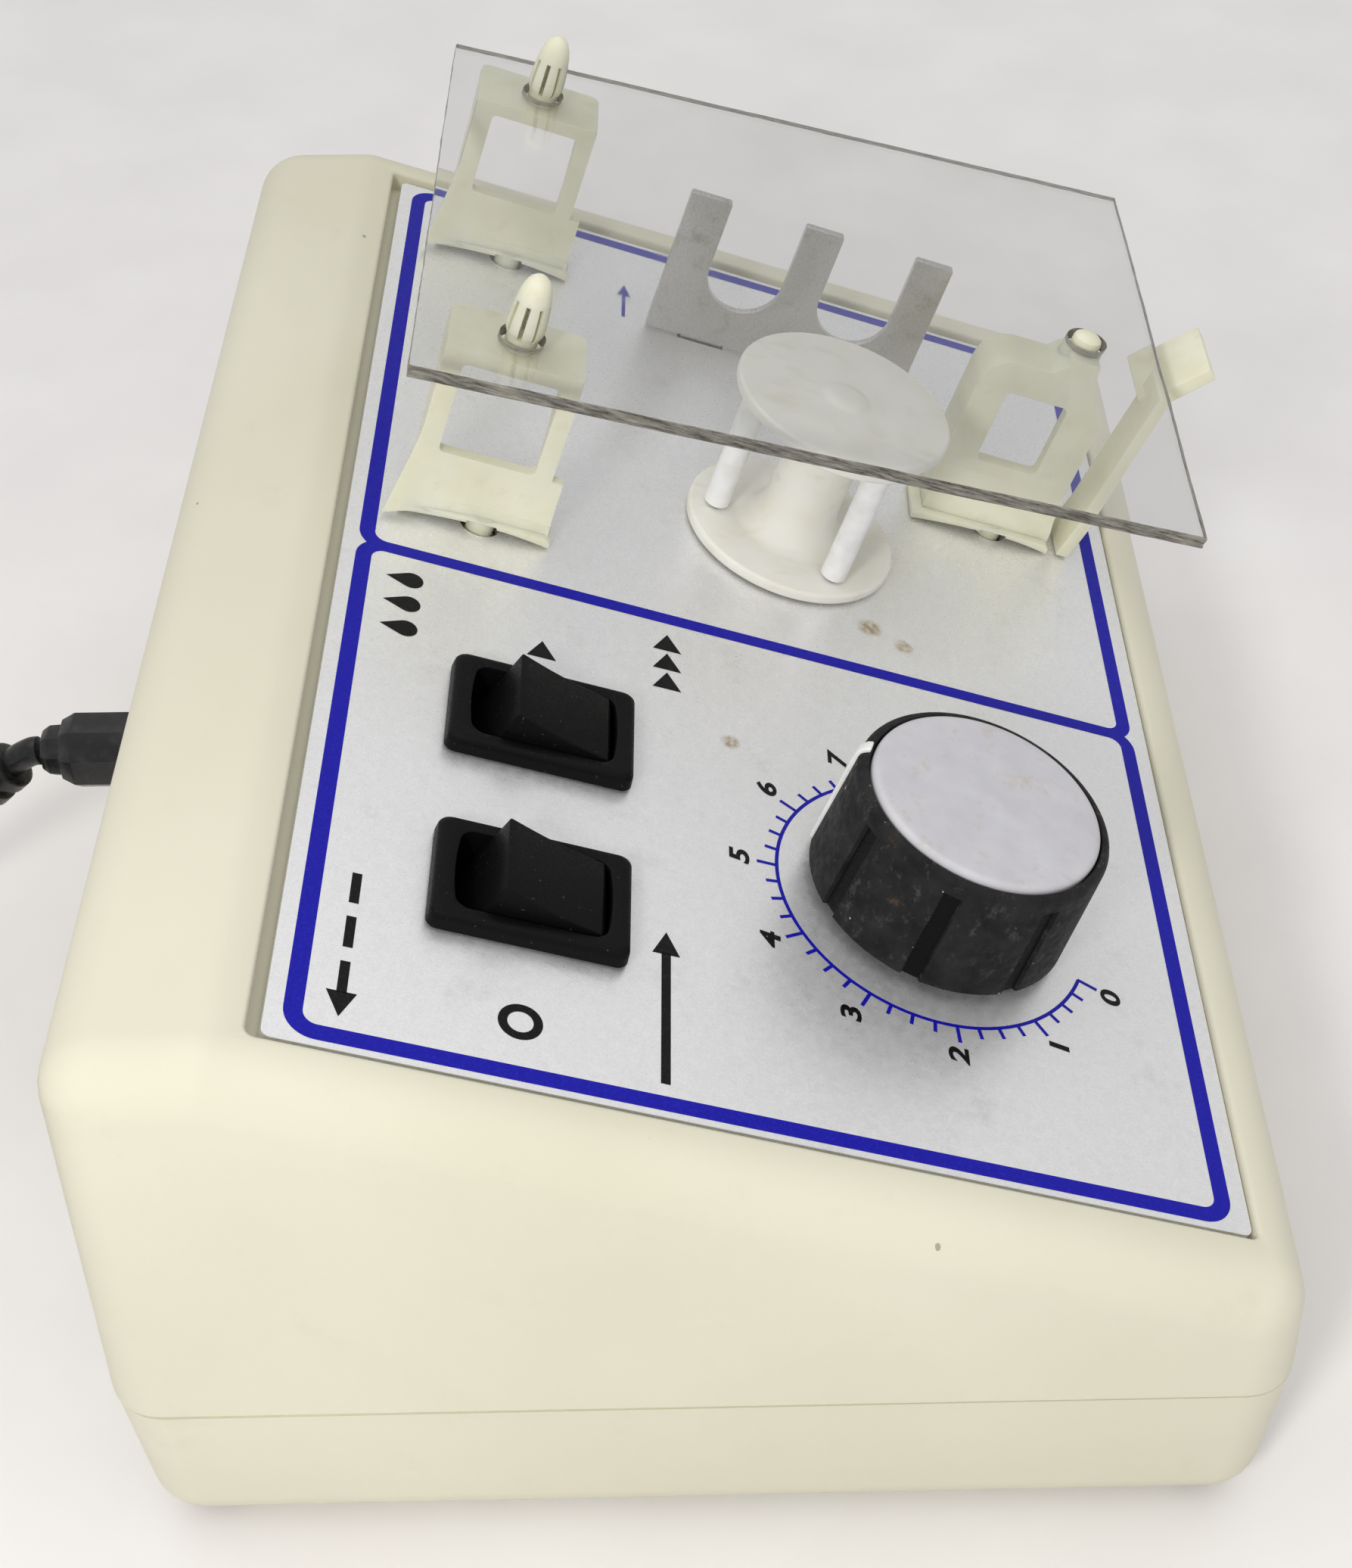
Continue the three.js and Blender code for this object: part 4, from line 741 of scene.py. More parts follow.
OVERRUN = 14
UPPER = [wall_corner(-1, SEAM_Z - OVERRUN, -UPPER_DRAFT), wall_corner(1, SEAM_Z - OVERRUN, -UPPER_DRAFT),
         wall_corner(1, CASE_TOP, UPPER_DRAFT), slope_point(SLOPE_V[1], SLOPE_PROUD),
         slope_point(SLOPE_V[0], SLOPE_PROUD)]
LOWER = [wall_corner(-1, CASE_BOTTOM, LOWER_DRAFT), wall_corner(1, CASE_BOTTOM, LOWER_DRAFT),
         wall_corner(1, SEAM_Z + OVERRUN, -LOWER_DRAFT), wall_corner(-1, SEAM_Z + OVERRUN, -LOWER_DRAFT)]


def half_space(z0, z1):
    """A slab wider than the case between two heights."""
    return block((-120, -100, z0), (120, 100, z1))


def panel_recess():
    """The cutter for the panel's recess, whose rim is rounded where it meets the sloping face."""
    rim = 0.5
    levels = [(-1.9, 0.0)]
    levels += [(SLOPE_PROUD - rim * (1 - math.sin(a)), rim * (1 - math.cos(a))) for a in quarter(4)]
    levels.append((12, rim))
    rings = []
    for w, out in levels:
        corners = rectangle(RECESS_LOW - Vector((out, out)), RECESS_HIGH + Vector((out, out)))
        rings.append([(u, v, w) for u, v in rounded(corners, 1 + out, 5)])
    return loft(rings)


def top_cover():
    """The upper shell, with a ledge under the panel, the opening behind it and the jack's hole."""
    shell = joined([case_form(UPPER, UPPER_DRAFT)],
                   [case_form(UPPER, UPPER_DRAFT, WALL), half_space(-20, SEAM_HIGH)])
    to_case = CASE.inverted() @ PANEL
    past, ledge_w = Vector((0.6, 0.6)), Vector((4.5, 4.5))
    ledge = block((*(RECESS_LOW - past), -4.3), (*(RECESS_HIGH + past), -0.6))
    opening = block((*(RECESS_LOW + ledge_w), -14), (*(RECESS_HIGH - ledge_w), 2))
    hole = moved(lathe([(0, -20), (5.5, -20), (5.5, 20), (0, 20)], 48),
                 at(middle_of("power_jack", CASE)[0], extent("power_jack", CASE)[1].y, JACK_Z)
                 @ Matrix.Rotation(math.pi / 2, 4, "X"))
    cuts = [moved(panel_recess(), to_case), moved(opening, to_case), hole]
    return joined([shell, moved(ledge, to_case)], cuts)


def base_pan():
    """The lower shell, with screw bosses, recesses for the feet and a shadow line along the seam."""
    pan = joined([case_form(LOWER, LOWER_DRAFT)],
                 [case_form(LOWER, LOWER_DRAFT, WALL), half_space(SEAM_LOW, 90)])
    floor = CASE_BOTTOM + 1
    bosses, cuts = [], []
    for corner in CORNERS:
        middle = middle_of(f"case_screw_{corner}", CASE)
        bosses.append(lathe([(0, floor), (4, floor), (4, SEAM_LOW), (0, SEAM_LOW)], 40, middle))
        cuts.append(lathe([(0, -1), (3.6, -1), (3.3, CASE_BOTTOM + 0.3), (3.3, 5.2), (1.7, 5.2),
                           (1.7, 40), (0, 40)], 40, middle))
        foot_at = middle_of(f"foot_{corner}", CASE)
        cuts.append(lathe([(0, -1), (6.3, -1), (6.3, floor), (0, floor)], 64, foot_at))
    rebate = joined([half_space(SEAM_LOW - SEAM_GAP, SEAM_LOW + 1)], [case_form(LOWER, LOWER_DRAFT, 0.35)])
    return joined([pan, *bosses], [*cuts, rebate])


def foot(name):
    """A rubber foot, slightly hollow underneath."""
    low, high = extent(f"foot_{name}", CASE)
    r = (high.x - low.x) / 2
    profile = [(0, 0.35), (r - 2.4, 0.35), (r - 2, 0.05), (r - 1, 0), (r - 0.4, 0.15), (r - 0.05, 0.6),
               (r, 1.0), (r, high.z), (0, high.z)]
    return lathe(profile, 64, middle_of(f"foot_{name}", CASE))


show("upper_case", top_cover(), CASE, IVORY, "case", ["top_cover"])
show("lower_case", base_pan(), CASE, IVORY, "case", ["base_pan"])
for corner in CORNERS:
    show(f"rubber_foot_{corner}", foot(corner), CASE, RUBBER, "case", [f"foot_{corner}"])

# ---------------------------------------------------------------- printed lines and marks
DIAL_START, DIAL_END = -157, 63
DIAL_R = 18.3
DIGIT_R = 22.5


def frame_line(low, high, width, r):
    """A closed rounded band, given by its outside."""
    outer = rounded(rectangle(low, high), r, 10)
    inner = rounded(rectangle((low[0] + width, low[1] + width), (high[0] - width, high[1] - width)),
                    max(r - width, 0.8), 10)
    rings = [[(*a, INK_LOW), (*b, INK_LOW), (*b, INK_HIGH), (*a, INK_HIGH)] for a, b in zip(outer, inner)]
    return loft(rings, looped=True)


def blue_lines():
    low, high = (PANEL_LOW.x + 0.8, PANEL_LOW.y + 1.9), (PANEL_HIGH.x - 0.8, PANEL_HIGH.y - 1.7)
    split = 38.45
    band, line_w = 1.85, 0.42
    left = frame_line(low, (split + band / 2, high[1]), band, 3.4)
    right = frame_line((split - band / 2, low[1]), high, band, 3.4)
    parts = [left, moved(right, at(w=0.002))]
    parts.append(stroke(arc_points((0, 0), DIAL_R, DIAL_START, DIAL_END, 120), line_w))
    ticks = 28
    for k in range(ticks + 1):
        a = DIAL_START + (DIAL_END - DIAL_START) * k / ticks
        reach = 2.3 if k % 4 == 0 else 1.5
        ends = [arc_points((0, 0), r, a, a, 1)[0] for r in (DIAL_R - 0.1, DIAL_R + reach)]
        parts.append(stroke(ends, line_w, top=INK_HIGH + 0.001))
    return together(parts)


def ink_shape(outline):
    return prism(outline, INK_LOW, INK_HIGH)


def flow_arrow():
    """The thin arrow beside the pump head."""
    shaft = stroke([(101.9, 37.6), (108, 37.6)], 0.5)
    head = ink_shape([(107.4, 36.6), (110.2, 37.6), (107.4, 38.6)])
    return together([shaft, head])


def digit(number):
    """A numeral, upright on the panel, centred on its place round the dial."""
    text = bpy.data.curves.new("digit", "FONT")
    text.body = str(number)
    text.size = 3.1
    text.offset = 0.09
    text.shear = 0.12
    text.extrude = (INK_HIGH - INK_LOW) / 2
    text.align_x, text.align_y = "CENTER", "CENTER"
    holder = put("digit", text)
    bpy.context.view_layer.update()
    mesh = bpy.data.meshes.new_from_object(holder.evaluated_get(bpy.context.evaluated_depsgraph_get()))
    bpy.data.objects.remove(holder)
    bm = bmesh.new()
    bm.from_mesh(mesh)
    bmesh.ops.remove_doubles(bm, verts=bm.verts, dist=1e-4)
    places = [-156.6, -126.3, -93.3, -61.8, -31.2, 0.3, 32.6, 63.4]
    u, v = arc_points((0, 0), DIGIT_R, places[number], places[number], 1)[0]
    wide = Matrix.Diagonal((1.45, 1, 1, 1))
    return moved(from_bmesh(bm), at(u, v, (INK_LOW + INK_HIGH) / 2) @ wide)


def triangle(u, v, size):
    points = [(u + size * math.cos(a), v + size * math.sin(a))
              for a in (0, 2 * math.pi / 3, 4 * math.pi / 3)]
    return ink_shape(points)


def droplet(u, v, r):
    tip = (u, v + 2.2 * r)
    side = math.radians(28)
    points = [tip] + [(u + r * math.cos(a), v + r * math.sin(a))
                      for a in [math.pi - side + (math.pi + 2 * side) * k / 20 for k in range(21)]]
    return ink_shape(points)


def long_arrow(u0, u1, v, dashes=1):
    """An arrow from u0 to u1, its shaft in one piece or in dashes."""
    way = math.copysign(1, u1 - u0)
    head = 3.2
    span = (u1 - way * (head - 0.2) - u0) / (dashes + 0.45 * (dashes - 1))
    starts = [u0 + 1.45 * span * k for k in range(dashes)]
    shafts = [stroke([(start, v), (start + span, v)], 1.0) for start in starts]
    tip = ink_shape([(u1 - way * head, v - 1.5), (u1, v), (u1 - way * head, v + 1.5)])
    return together([*shafts, tip])


def black_marks():
    """Dial numbers, and plain signs for the switch positions: prime, slow, fast, reverse, off, forward."""
    marks = [digit(n) for n in range(8)]
    marks += [droplet(24.6 + 4.4 * k, 61.6, 1.35) for k in range(3)]
    marks.append(triangle(26.4, 45.9, 2.0))
    marks += [triangle(26.4 + 3.5 * k, 30.9, 2.0) for k in range(3)]
    marks.append(long_arrow(-15.4, -34.7, 63.2, dashes=3))
    marks.append(long_arrow(-34.7, -14, 30.9))
    ring = arc_points((-30.6, 45.7), 1.8, 0, 360, 48)[:-1]
    return together([*marks, stroke(ring, 0.95, looped=True)])


for name, mesh, material in (("blue_print", blue_lines(), BLUE_INK), ("blue_arrow", flow_arrow(), BLUE_INK),
                             ("black_print", black_marks(), BLACK_INK)):
    show(name, mesh, PANEL, material, "case")

# ---------------------------------------------------------------- rocker switches
ROCKER_RIDGE = 8.5
ROCKER_HALF = 8.36
ROCKER_FACE = math.radians(42.4)
ROCKER_REST = math.radians(25.5)


def pad_ring(middle, half_u, half_v, r, w, bow=0.0):
    """A rounded rectangle whose two short ends bow outwards."""
    side_steps = 8
    points = []
    corners = rounded(rectangle((-half_u, -half_v), (half_u, half_v)), r, 6)
    for i, point in enumerate(corners):
        points.append(Vector(point))
        if (i + 1) % 7 == 0:
            after = Vector(corners[(i + 1) % len(corners)])
            points += [Vector(point).lerp(after, k / side_steps) for k in range(1, side_steps)]
    shaped = []
    for p in points:
        out = bow * (1 - (p.x / half_u) ** 2) * max(-1.0, min(1.0, 3 * p.y / half_v))
        shaped.append((middle[0] + p.x, middle[1] + p.y - (bow if p.y > 0 else -bow) * 0.5 + out, w))
    return shaped


def switch_body(node):
    """A bezel with a rounded shoulder round a window, a box below the panel and three terminals."""
    low, high = extent(node)
    middle = middle_of(node)
    half_u, half_v = (high.x - low.x) / 2, (high.y - low.y) / 2
    top, under, bottom = high.z, 0.3, -13
    rings = [(half_u - 1, half_v - 0.9, 0.6, bottom, 0), (half_u - 1, half_v - 0.9, 0.6, under, 0),
             (half_u - 0.1, half_v - 0.1, 1.2, under, 0), (half_u, half_v, 1.25, under + 0.15, 0)]
    shoulder_out, shoulder_down = 0.75, 1.15 * 0.75
    for a in quarter(5):
        out = 0.1 + shoulder_out * (1 - math.cos(a))
        rings.append((half_u - out, half_v - out, 1.25, top - shoulder_down * (1 - math.sin(a)), 0))
    window_u, window_v = 5.5, 7.95
    rings += [(window_u + out, window_v + out, r, top - down, 0.5)
              for out, r, down in ((0.3, 1.5, 0), (0.08, 1.4, 0.1), (0, 1.3, 0.35))]
    rings += [(window_u, window_v + 0.25, 1.3, under, 0.3),
              (window_u, 8.6, 1.3, -0.4, 0), (window_u, 8.6, 1.3, -11, 0)]
    body = loft([pad_ring(middle, *ring) for ring in rings])
    terminals = [block((middle[0] - 2.4, v - 0.4, bottom - 7), (middle[0] + 2.4, v + 0.4, bottom + 0.5), 0.15)
                 for v in (middle[1] - 6, middle[1], middle[1] + 6)]
    return joined([body, *terminals])


def rocker(node):
    """Two faces that meet in a ridge, with ends curved about the pivot and slightly hollow faces."""
    low, high = extent(node)
    drop = ROCKER_HALF * math.tan(ROCKER_FACE)
    top = ROCKER_RIDGE - drop
    end_r = math.hypot(ROCKER_HALF, top)
    first = math.atan2(top, ROCKER_HALF)
    ends = [first - k * (first + math.radians(20)) / 10 for k in range(11)]
    rear = [(end_r * math.cos(a), end_r * math.sin(a)) for a in ends]
    hollow = 0.28
    face = []
    for k in range(1, 8):
        t = k / 8
        y, z = ROCKER_HALF * t, ROCKER_RIDGE - drop * t
        dip = hollow * math.sin(math.pi * t)
        face.append((y - dip * math.sin(ROCKER_FACE), z - dip * math.cos(ROCKER_FACE)))
    right = [(0, ROCKER_RIDGE), *face, *rear]
    left = [(-y, z) for y, z in reversed(right[1:])]
    half = (high.x - low.x) / 2
    solid = bevelled(slab_u(right + left, -half, half), 0.22, 3, 28)
    pivot = at(middle_of(node)[0], *ROCKER_PIVOT)
    return moved(solid, pivot @ Matrix.Rotation(-ROCKER_REST, 4, "X"))


for use in ("speed", "direction"):
    show(f"{use}_switch", switch_body(f"{use}_switch_body"), PANEL, SWITCH, "case",
         [f"{use}_switch_body"])
    show(f"{use}_rocker_cap", rocker(f"{use}_rocker"), PANEL, SWITCH, f"{use}_rocker",
         [f"{use}_rocker"], 40)

# ---------------------------------------------------------------- knob
KNOB_TURN = math.radians(-17.5)
KNOB_BASE_R, KNOB_TOP_R = 15.2, 14.6
KNOB_BOTTOM, KNOB_SHOULDER = 1.6, 14.7
CAP_R, CAP_TOP = 13.2, 16.4
GRIPS = 8
GRIP_W, GRIP_DEPTH = 2.0, 0.45


def flank_r(z):
    """The knob's radius at a height, before its grooves."""
    lean = (KNOB_BASE_R - KNOB_TOP_R) / (KNOB_SHOULDER - KNOB_BOTTOM)
    return KNOB_BASE_R - lean * (z - KNOB_BOTTOM)


def grip_angles():
    """Angles round the knob, close together at the edges of its grooves, and whether each is in one."""
    half = GRIP_W / 2 / KNOB_TOP_R
    step = 2 * math.pi / GRIPS
    edge = 0.006
    clear = step - 2 * half - 0.02
    marks = []
    for k in range(GRIPS):
        middle = k * step + math.pi / 2
        marks += [(middle - half - edge, 0), (middle - half + edge, 1), (middle, 1),
                  (middle + half - edge, 1), (middle + half + edge, 0)]
        marks += [(middle + half + 0.01 + clear * (j + 0.5) / 10, 0) for j in range(10)]
    return marks


def knob_body():
    """A hollow skirt with grooves in its flank, a rounded shoulder and a seat for the cap."""
    marks = grip_angles()

    def ring(r, z, depth=0.0):
        arms = [(r - depth * inside, a) for a, inside in marks]
        return [(arm * math.cos(a), arm * math.sin(a), z) for arm, a in arms]

    groove_top = KNOB_SHOULDER - 1
    seat = CAP_R + 0.2
    rings = [ring(5.6, 5), ring(5.6, 12), ring(12.4, 12), ring(12.8, KNOB_BOTTOM)]
    rings.append(ring(KNOB_BASE_R - 0.25, KNOB_BOTTOM, GRIP_DEPTH))
    rings += [ring(flank_r(z), z, GRIP_DEPTH) for z in (
        KNOB_BOTTOM + 0.25, KNOB_BOTTOM + 4, KNOB_BOTTOM + 8, groove_top)]
    rings.append(ring(KNOB_TOP_R + 0.02, groove_top + 0.12))
    rings += [ring(KNOB_TOP_R - 0.95 * (1 - math.cos(a)), KNOB_SHOULDER + 1.1 * math.sin(a) - 0.1)
              for a in quarter(5)]
    rings += [ring(seat + out, KNOB_SHOULDER + up) for out, up in ((0.1, 1), (0, 0.85), (0, 0))]
    body = loft(rings)
    bore = lathe([(0, 0), (3.2, 0), (3.2, 12.8), (0, 12.8)], 40)
    slot = block((-0.9, CAP_R + 0.75, KNOB_BOTTOM - 1), (0.9, 18, 20))
    return moved(joined([body], [bore, slot]), Matrix.Rotation(KNOB_TURN, 4, "Z"))


def knob_cap():
    """The pale disc on the knob, with a soft edge and a slight dome."""
    r = CAP_R - 0.05
    low = KNOB_SHOULDER + 0.3
    crown = 0.12
    edge = soft_edge(r, CAP_TOP - crown, 0.75, 1, 1, 7)
    dome = [(r * t, CAP_TOP - crown * t ** 2) for t in (0.9, 0.75, 0.6, 0.4, 0.2)]
    return lathe([(0, low), (r, low), *edge, *dome, (0, CAP_TOP)], 128)


def knob_pointer():
    """A raised white line up the flank and over the shoulder to the cap."""
    outline = [(CAP_R + 0.9, KNOB_BOTTOM + 0.15), (KNOB_BASE_R + 0.3, KNOB_BOTTOM + 0.15),
               (KNOB_TOP_R + 0.42, KNOB_SHOULDER - 0.2), (KNOB_TOP_R + 0.25, KNOB_SHOULDER + 0.55),
               (KNOB_TOP_R - 0.35, CAP_TOP - 0.45), (CAP_R + 0.45, CAP_TOP - 0.15),
               (CAP_R + 0.35, KNOB_SHOULDER + 1.0), (CAP_R + 0.9, KNOB_SHOULDER + 0.4)]
    return moved(bevelled(slab_u(outline, -0.8, 0.8), 0.22, 3, 20), Matrix.Rotation(KNOB_TURN, 4, "Z"))


def show_knob_body():
    """The knob's flank is scuffed, while its grooves stay clean and dark."""
    mesh = knob_body()
    clean = []
    for middle in [polygon.center.copy() for polygon in mesh.polygons]:
        low = KNOB_TOP_R - 1 < middle.xy.length < flank_r(middle.z) - 0.6 * GRIP_DEPTH
        clean.append(int(low and middle.z < KNOB_SHOULDER - 0.8))
    show("knob_grip", mesh, PANEL, [CHARCOAL, SWITCH], "knob", ["knob_body"], 25)
    mesh.polygons.foreach_set("material_index", clean)


show_knob_body()
show("knob_top_cap", knob_cap(), PANEL, CAP, "knob", ["knob_cap"])
show("knob_line", knob_pointer(), PANEL, ROLLER, "knob", ["knob_pointer"], 50)

# ---------------------------------------------------------------- rotor
ROTOR_LOW, ROTOR_HIGH = extent("rotor_base")
ROTOR_AT = middle_of("rotor_base")
DISC_R = (ROTOR_HIGH.x - ROTOR_LOW.x) / 2
DISC_T = 1.5
HUB_R = 4.75


def disc_edge(bottom, top):
    """The rounded rim of a disc, from its underside to its upper face."""
    upper = soft_edge(DISC_R, top, 0.45, 1, 1)
    return [(r, bottom + top - z) for r, z in reversed(upper)] + upper


def pin_holes(bottom, top):
    """The cutters for the three holes that hold the rollers' pins."""
    profile = [(0, bottom), (1.05, bottom), (1.05, top), (0, top)]
    return [lathe(profile, 24, middle_of(f"roller_pin_{number}")) for number in (1, 2, 3)]


def rotor_base():
    """The lower disc and its hub, which meet in a wide fillet."""
    bottom, top = ROTOR_LOW.z, ROTOR_HIGH.z
    face = bottom + DISC_T
    bore = 2.8
    fillet = [(HUB_R + 3.2 * (1 - math.sin(a)), face + 5 * (1 - math.cos(a))) for a in quarter(12)]
    profile = [(bore, bottom), *disc_edge(bottom, face), *fillet, (HUB_R, top), (bore, top)]
    return joined([lathe(profile, 128, ROTOR_AT, looped=True)], pin_holes(bottom + 0.4, face + 2))


def rotor_top():
    """The upper disc, with its journal and a low crown."""
    low, high = extent("rotor_top")
    top = high.z - 0.5
    under = top - DISC_T
    crown = [(r, top + up) for r, up in (
        (3.4, 0), (2.9, 0.06), (2.5, 0.28), (2.1, 0.42), (1.2, 0.49), (0, 0.5))]
    profile = [(0, low.z), (2.1, low.z), (2.2, low.z + 0.2), (2.2, under), *disc_edge(under, top), *crown]
    return joined([lathe(profile, 128, ROTOR_AT)], pin_holes(under - 1, under + 1))


def roller(number):
    """A plain roller with broken edges and a bore for its pin."""
    low, high = extent(f"roller_{number}")
    r = (high.x - low.x) / 2
    bore, edge = 0.85, 0.25
    profile = [(bore, low.z), (r - edge, low.z), (r, low.z + edge), (r, high.z - edge), (r - edge, high.z),
               (bore, high.z)]
    return lathe(profile, 64, middle_of(f"roller_{number}"), looped=True)


show("rotor_lower", rotor_base(), PANEL, ACETAL, "rotor", ["rotor_base"])
show("rotor_upper", rotor_top(), PANEL, ACETAL, "rotor", ["rotor_top"])
for number, letter in ((1, "a"), (2, "b"), (3, "c")):
    show(f"pump_roller_{number}", roller(number), PANEL, ROLLER, f"roller_{letter}",
         [f"roller_{number}"])


# ---------------------------------------------------------------- tube holder
def tube_holder():
    """Stamped sheet with two round-bottomed slots between three prongs, and tabs through the panel."""
    low, high = extent("tube_holder")
    slot_r, pitch, slot_w, tab = 5.2, 15.8, 11.2, 6

    def corner(v, side):
        """The rounded end corner of a prong; side is 1 where the prong lies towards higher v."""
        ends = [(v, high.z - 3), (v, high.z), (v + 3 * side, high.z)]
        return rounded(ends if side < 0 else ends[::-1], 0.35, 4)[5:10]

    outline = [(low.y, 0.3)]
    for start in (2.0, 23.5):
        outline += [(start, 0.3), (start, low.z), (start + tab, low.z), (start + tab, 0.3)]
    outline += [(high.y, 0.3), *corner(high.y, -1)]
    for right in (low.y + 2 * pitch, low.y + pitch):
        middle = right - slot_r
        outline += corner(right, 1)
        outline += [(middle + slot_r * math.cos(a), slot_w + slot_r * math.sin(a))
                    for a in [-math.pi * j / 28 for j in range(29)]]
        outline += corner(middle - slot_r, -1)
    outline += corner(low.y, 1)
    return bevelled(slab_u(outline, low.x, high.x), 0.13, 3, 40)


show("slotted_holder", tube_holder(), PANEL, STEEL, "case", ["tube_holder"])

# ---------------------------------------------------------------- nylon supports and lever
FOOT_TOP = 2.6
ANCHOR_R = 1.7


def anchor(u, v, top):
    """The push-in anchor below the panel: a stem with a barb that opens under the hole."""
    barb = [(0, -6), (1.2, -6), (1.7, -5.7), (2.6, -3.4), (3.0, -2.5), (2.9, -2.1), (ANCHOR_R, -2.0),
            (ANCHOR_R, top), (0, top)]
    return lathe(barb, 32, (u, v))


def snap_head(u, v, base):
    """A slender bullet on a stem, split into eight ribs so that it can squeeze through a hole."""
    bullet = [(0, 0), (1.9, 0), (1.9, 2.5), (2.1, 2.9), (2.3, 3.4), (2.32, 4.2), (2.25, 5.4), (2.12, 6.8),
              (1.93, 8.1), (1.65, 9.1), (1.25, 9.9), (0.7, 10.4), (0.3, 10.55), (0, 10.6)]
    head = lathe([(r, base + up) for r, up in bullet], 48, (u, v))
    slot = rounded(rectangle((-4, base + 2.8), (4, base + 7.2)), 0.3, 4)
    bars = [moved(slab_v(slot, -0.27, 0.27), at(u, v) @ Matrix.Rotation(math.radians(turn), 4, "Z"))
            for turn in (31, 76, 121, 166)]
    return joined([head], bars)


def lobes(u0, u1, v0, v1, middle_v):
    """The springy pad under a support: thin feet at both ends that bow up to the stem."""
    steps = 24
    top = 1.5
    under = []
    for k in range(steps + 1):
        v = v0 + (v1 - v0) * k / steps
        reach = (v - middle_v) / ((v1 if v > middle_v else v0) - middle_v)
        wave = math.cos(math.pi / 2 * min(1.0, reach * 1.02)) ** 0.8 if reach < 0.98 else 0.0
        under.append((v, 0.3 + 0.75 * wave))
    outline = under + [(v1, 1.0), (v1 - 0.8, top), (v0 + 0.8, top), (v0, 1.0)]
    return slab_u(outline, u0, u1)


def sprung_foot(u, v, u0, u1, v0, v1):
    """A support's pad, with the notch beside its anchor at (u, v), and that anchor."""
    notch = lathe([(0, -1), (1.9, -1), (1.9, 1.3), (0, 1.3)], 32, (u - 2.2, v))
    pad = joined([lobes(u0, u1, v0, v1, v)], [notch])
    return [bevelled(pad, 0.12, 2, 40), anchor(u, v, 1.6)]


def apron(u, v0, v1):
    """The flared skirt along the foot of a rear support, which sweeps out into a wing at its rear end."""
    sections, steps = 14, 8
    rings = []
    for i in range(sections + 1):
        t = i / sections
        end = t ** 5
        outer, inner = [], []
        for k in range(steps + 1):
            s = k / steps
            out = (1.5 + 2.9 * end) * s ** 2.2
            v = v0 + (v1 - v0) * t + 2.3 * end * s ** 1.5
            w = (8 + 3 * end) * (1 - s) + (1.3 - 0.5 * end) * s
            outer.append((u - out, v, w))
            inner.append((u + 1.5 - out * 0.95, v - 0.3 * end * s, w))
        rings.append(outer + inner[::-1])
    return loft(rings)


def rear_support(shift):
    """A framed bracket: windowed web, top flange with a snap head, two stiles, a flared foot and a wing."""
    u = 48.1 + shift
    v0, v1, top = 47.8, 64, 21.4
    low_w = FOOT_TOP - 1
    window = slab_u(rounded(rectangle((50.0, 8.2), (61.6, 19.6)), 0.7, 5), u - 6, u + 1.9)
    web = slab_u(rounded(rectangle((v0, low_w), (v1, top - 0.4)), 0.4, 3), u, u + 1.6)
    flange = prism(rounded(rectangle((u, v0), (u + 9.9, v1)), [0.4, 1.2, 1.2, 0.4], 5), top - 1.6, top)
    stile = [(u + 0.1, low_w), (u + 4.4, low_w), (u + 5.2, 8), (u + 9.7, top - 0.6), (u + 0.1, top - 0.6)]
    stiles = [slab_v(stile, v0, v0 + 1.7), slab_v(stile, v1 - 1.6, v1)]
    lip = prism(rounded(rectangle((u - 1.2, v0 - 1.4), (u + 5.5, v1)), 0.5, 3), 1.3, FOOT_TOP)
    frame_part = joined([web, flange, *stiles, lip, apron(u, v0 - 1.4, v1)], [window])
    foot_parts = sprung_foot(47.6 + shift, 54.4, u - 2.4, u + 5, v0 - 1.8, v1 + 0.4)
    head = snap_head(REAR_HEAD[0] + shift, REAR_HEAD[1], top - 0.1)
    return together([bevelled(frame_part, 0.16, 2, 38), *foot_parts, head])


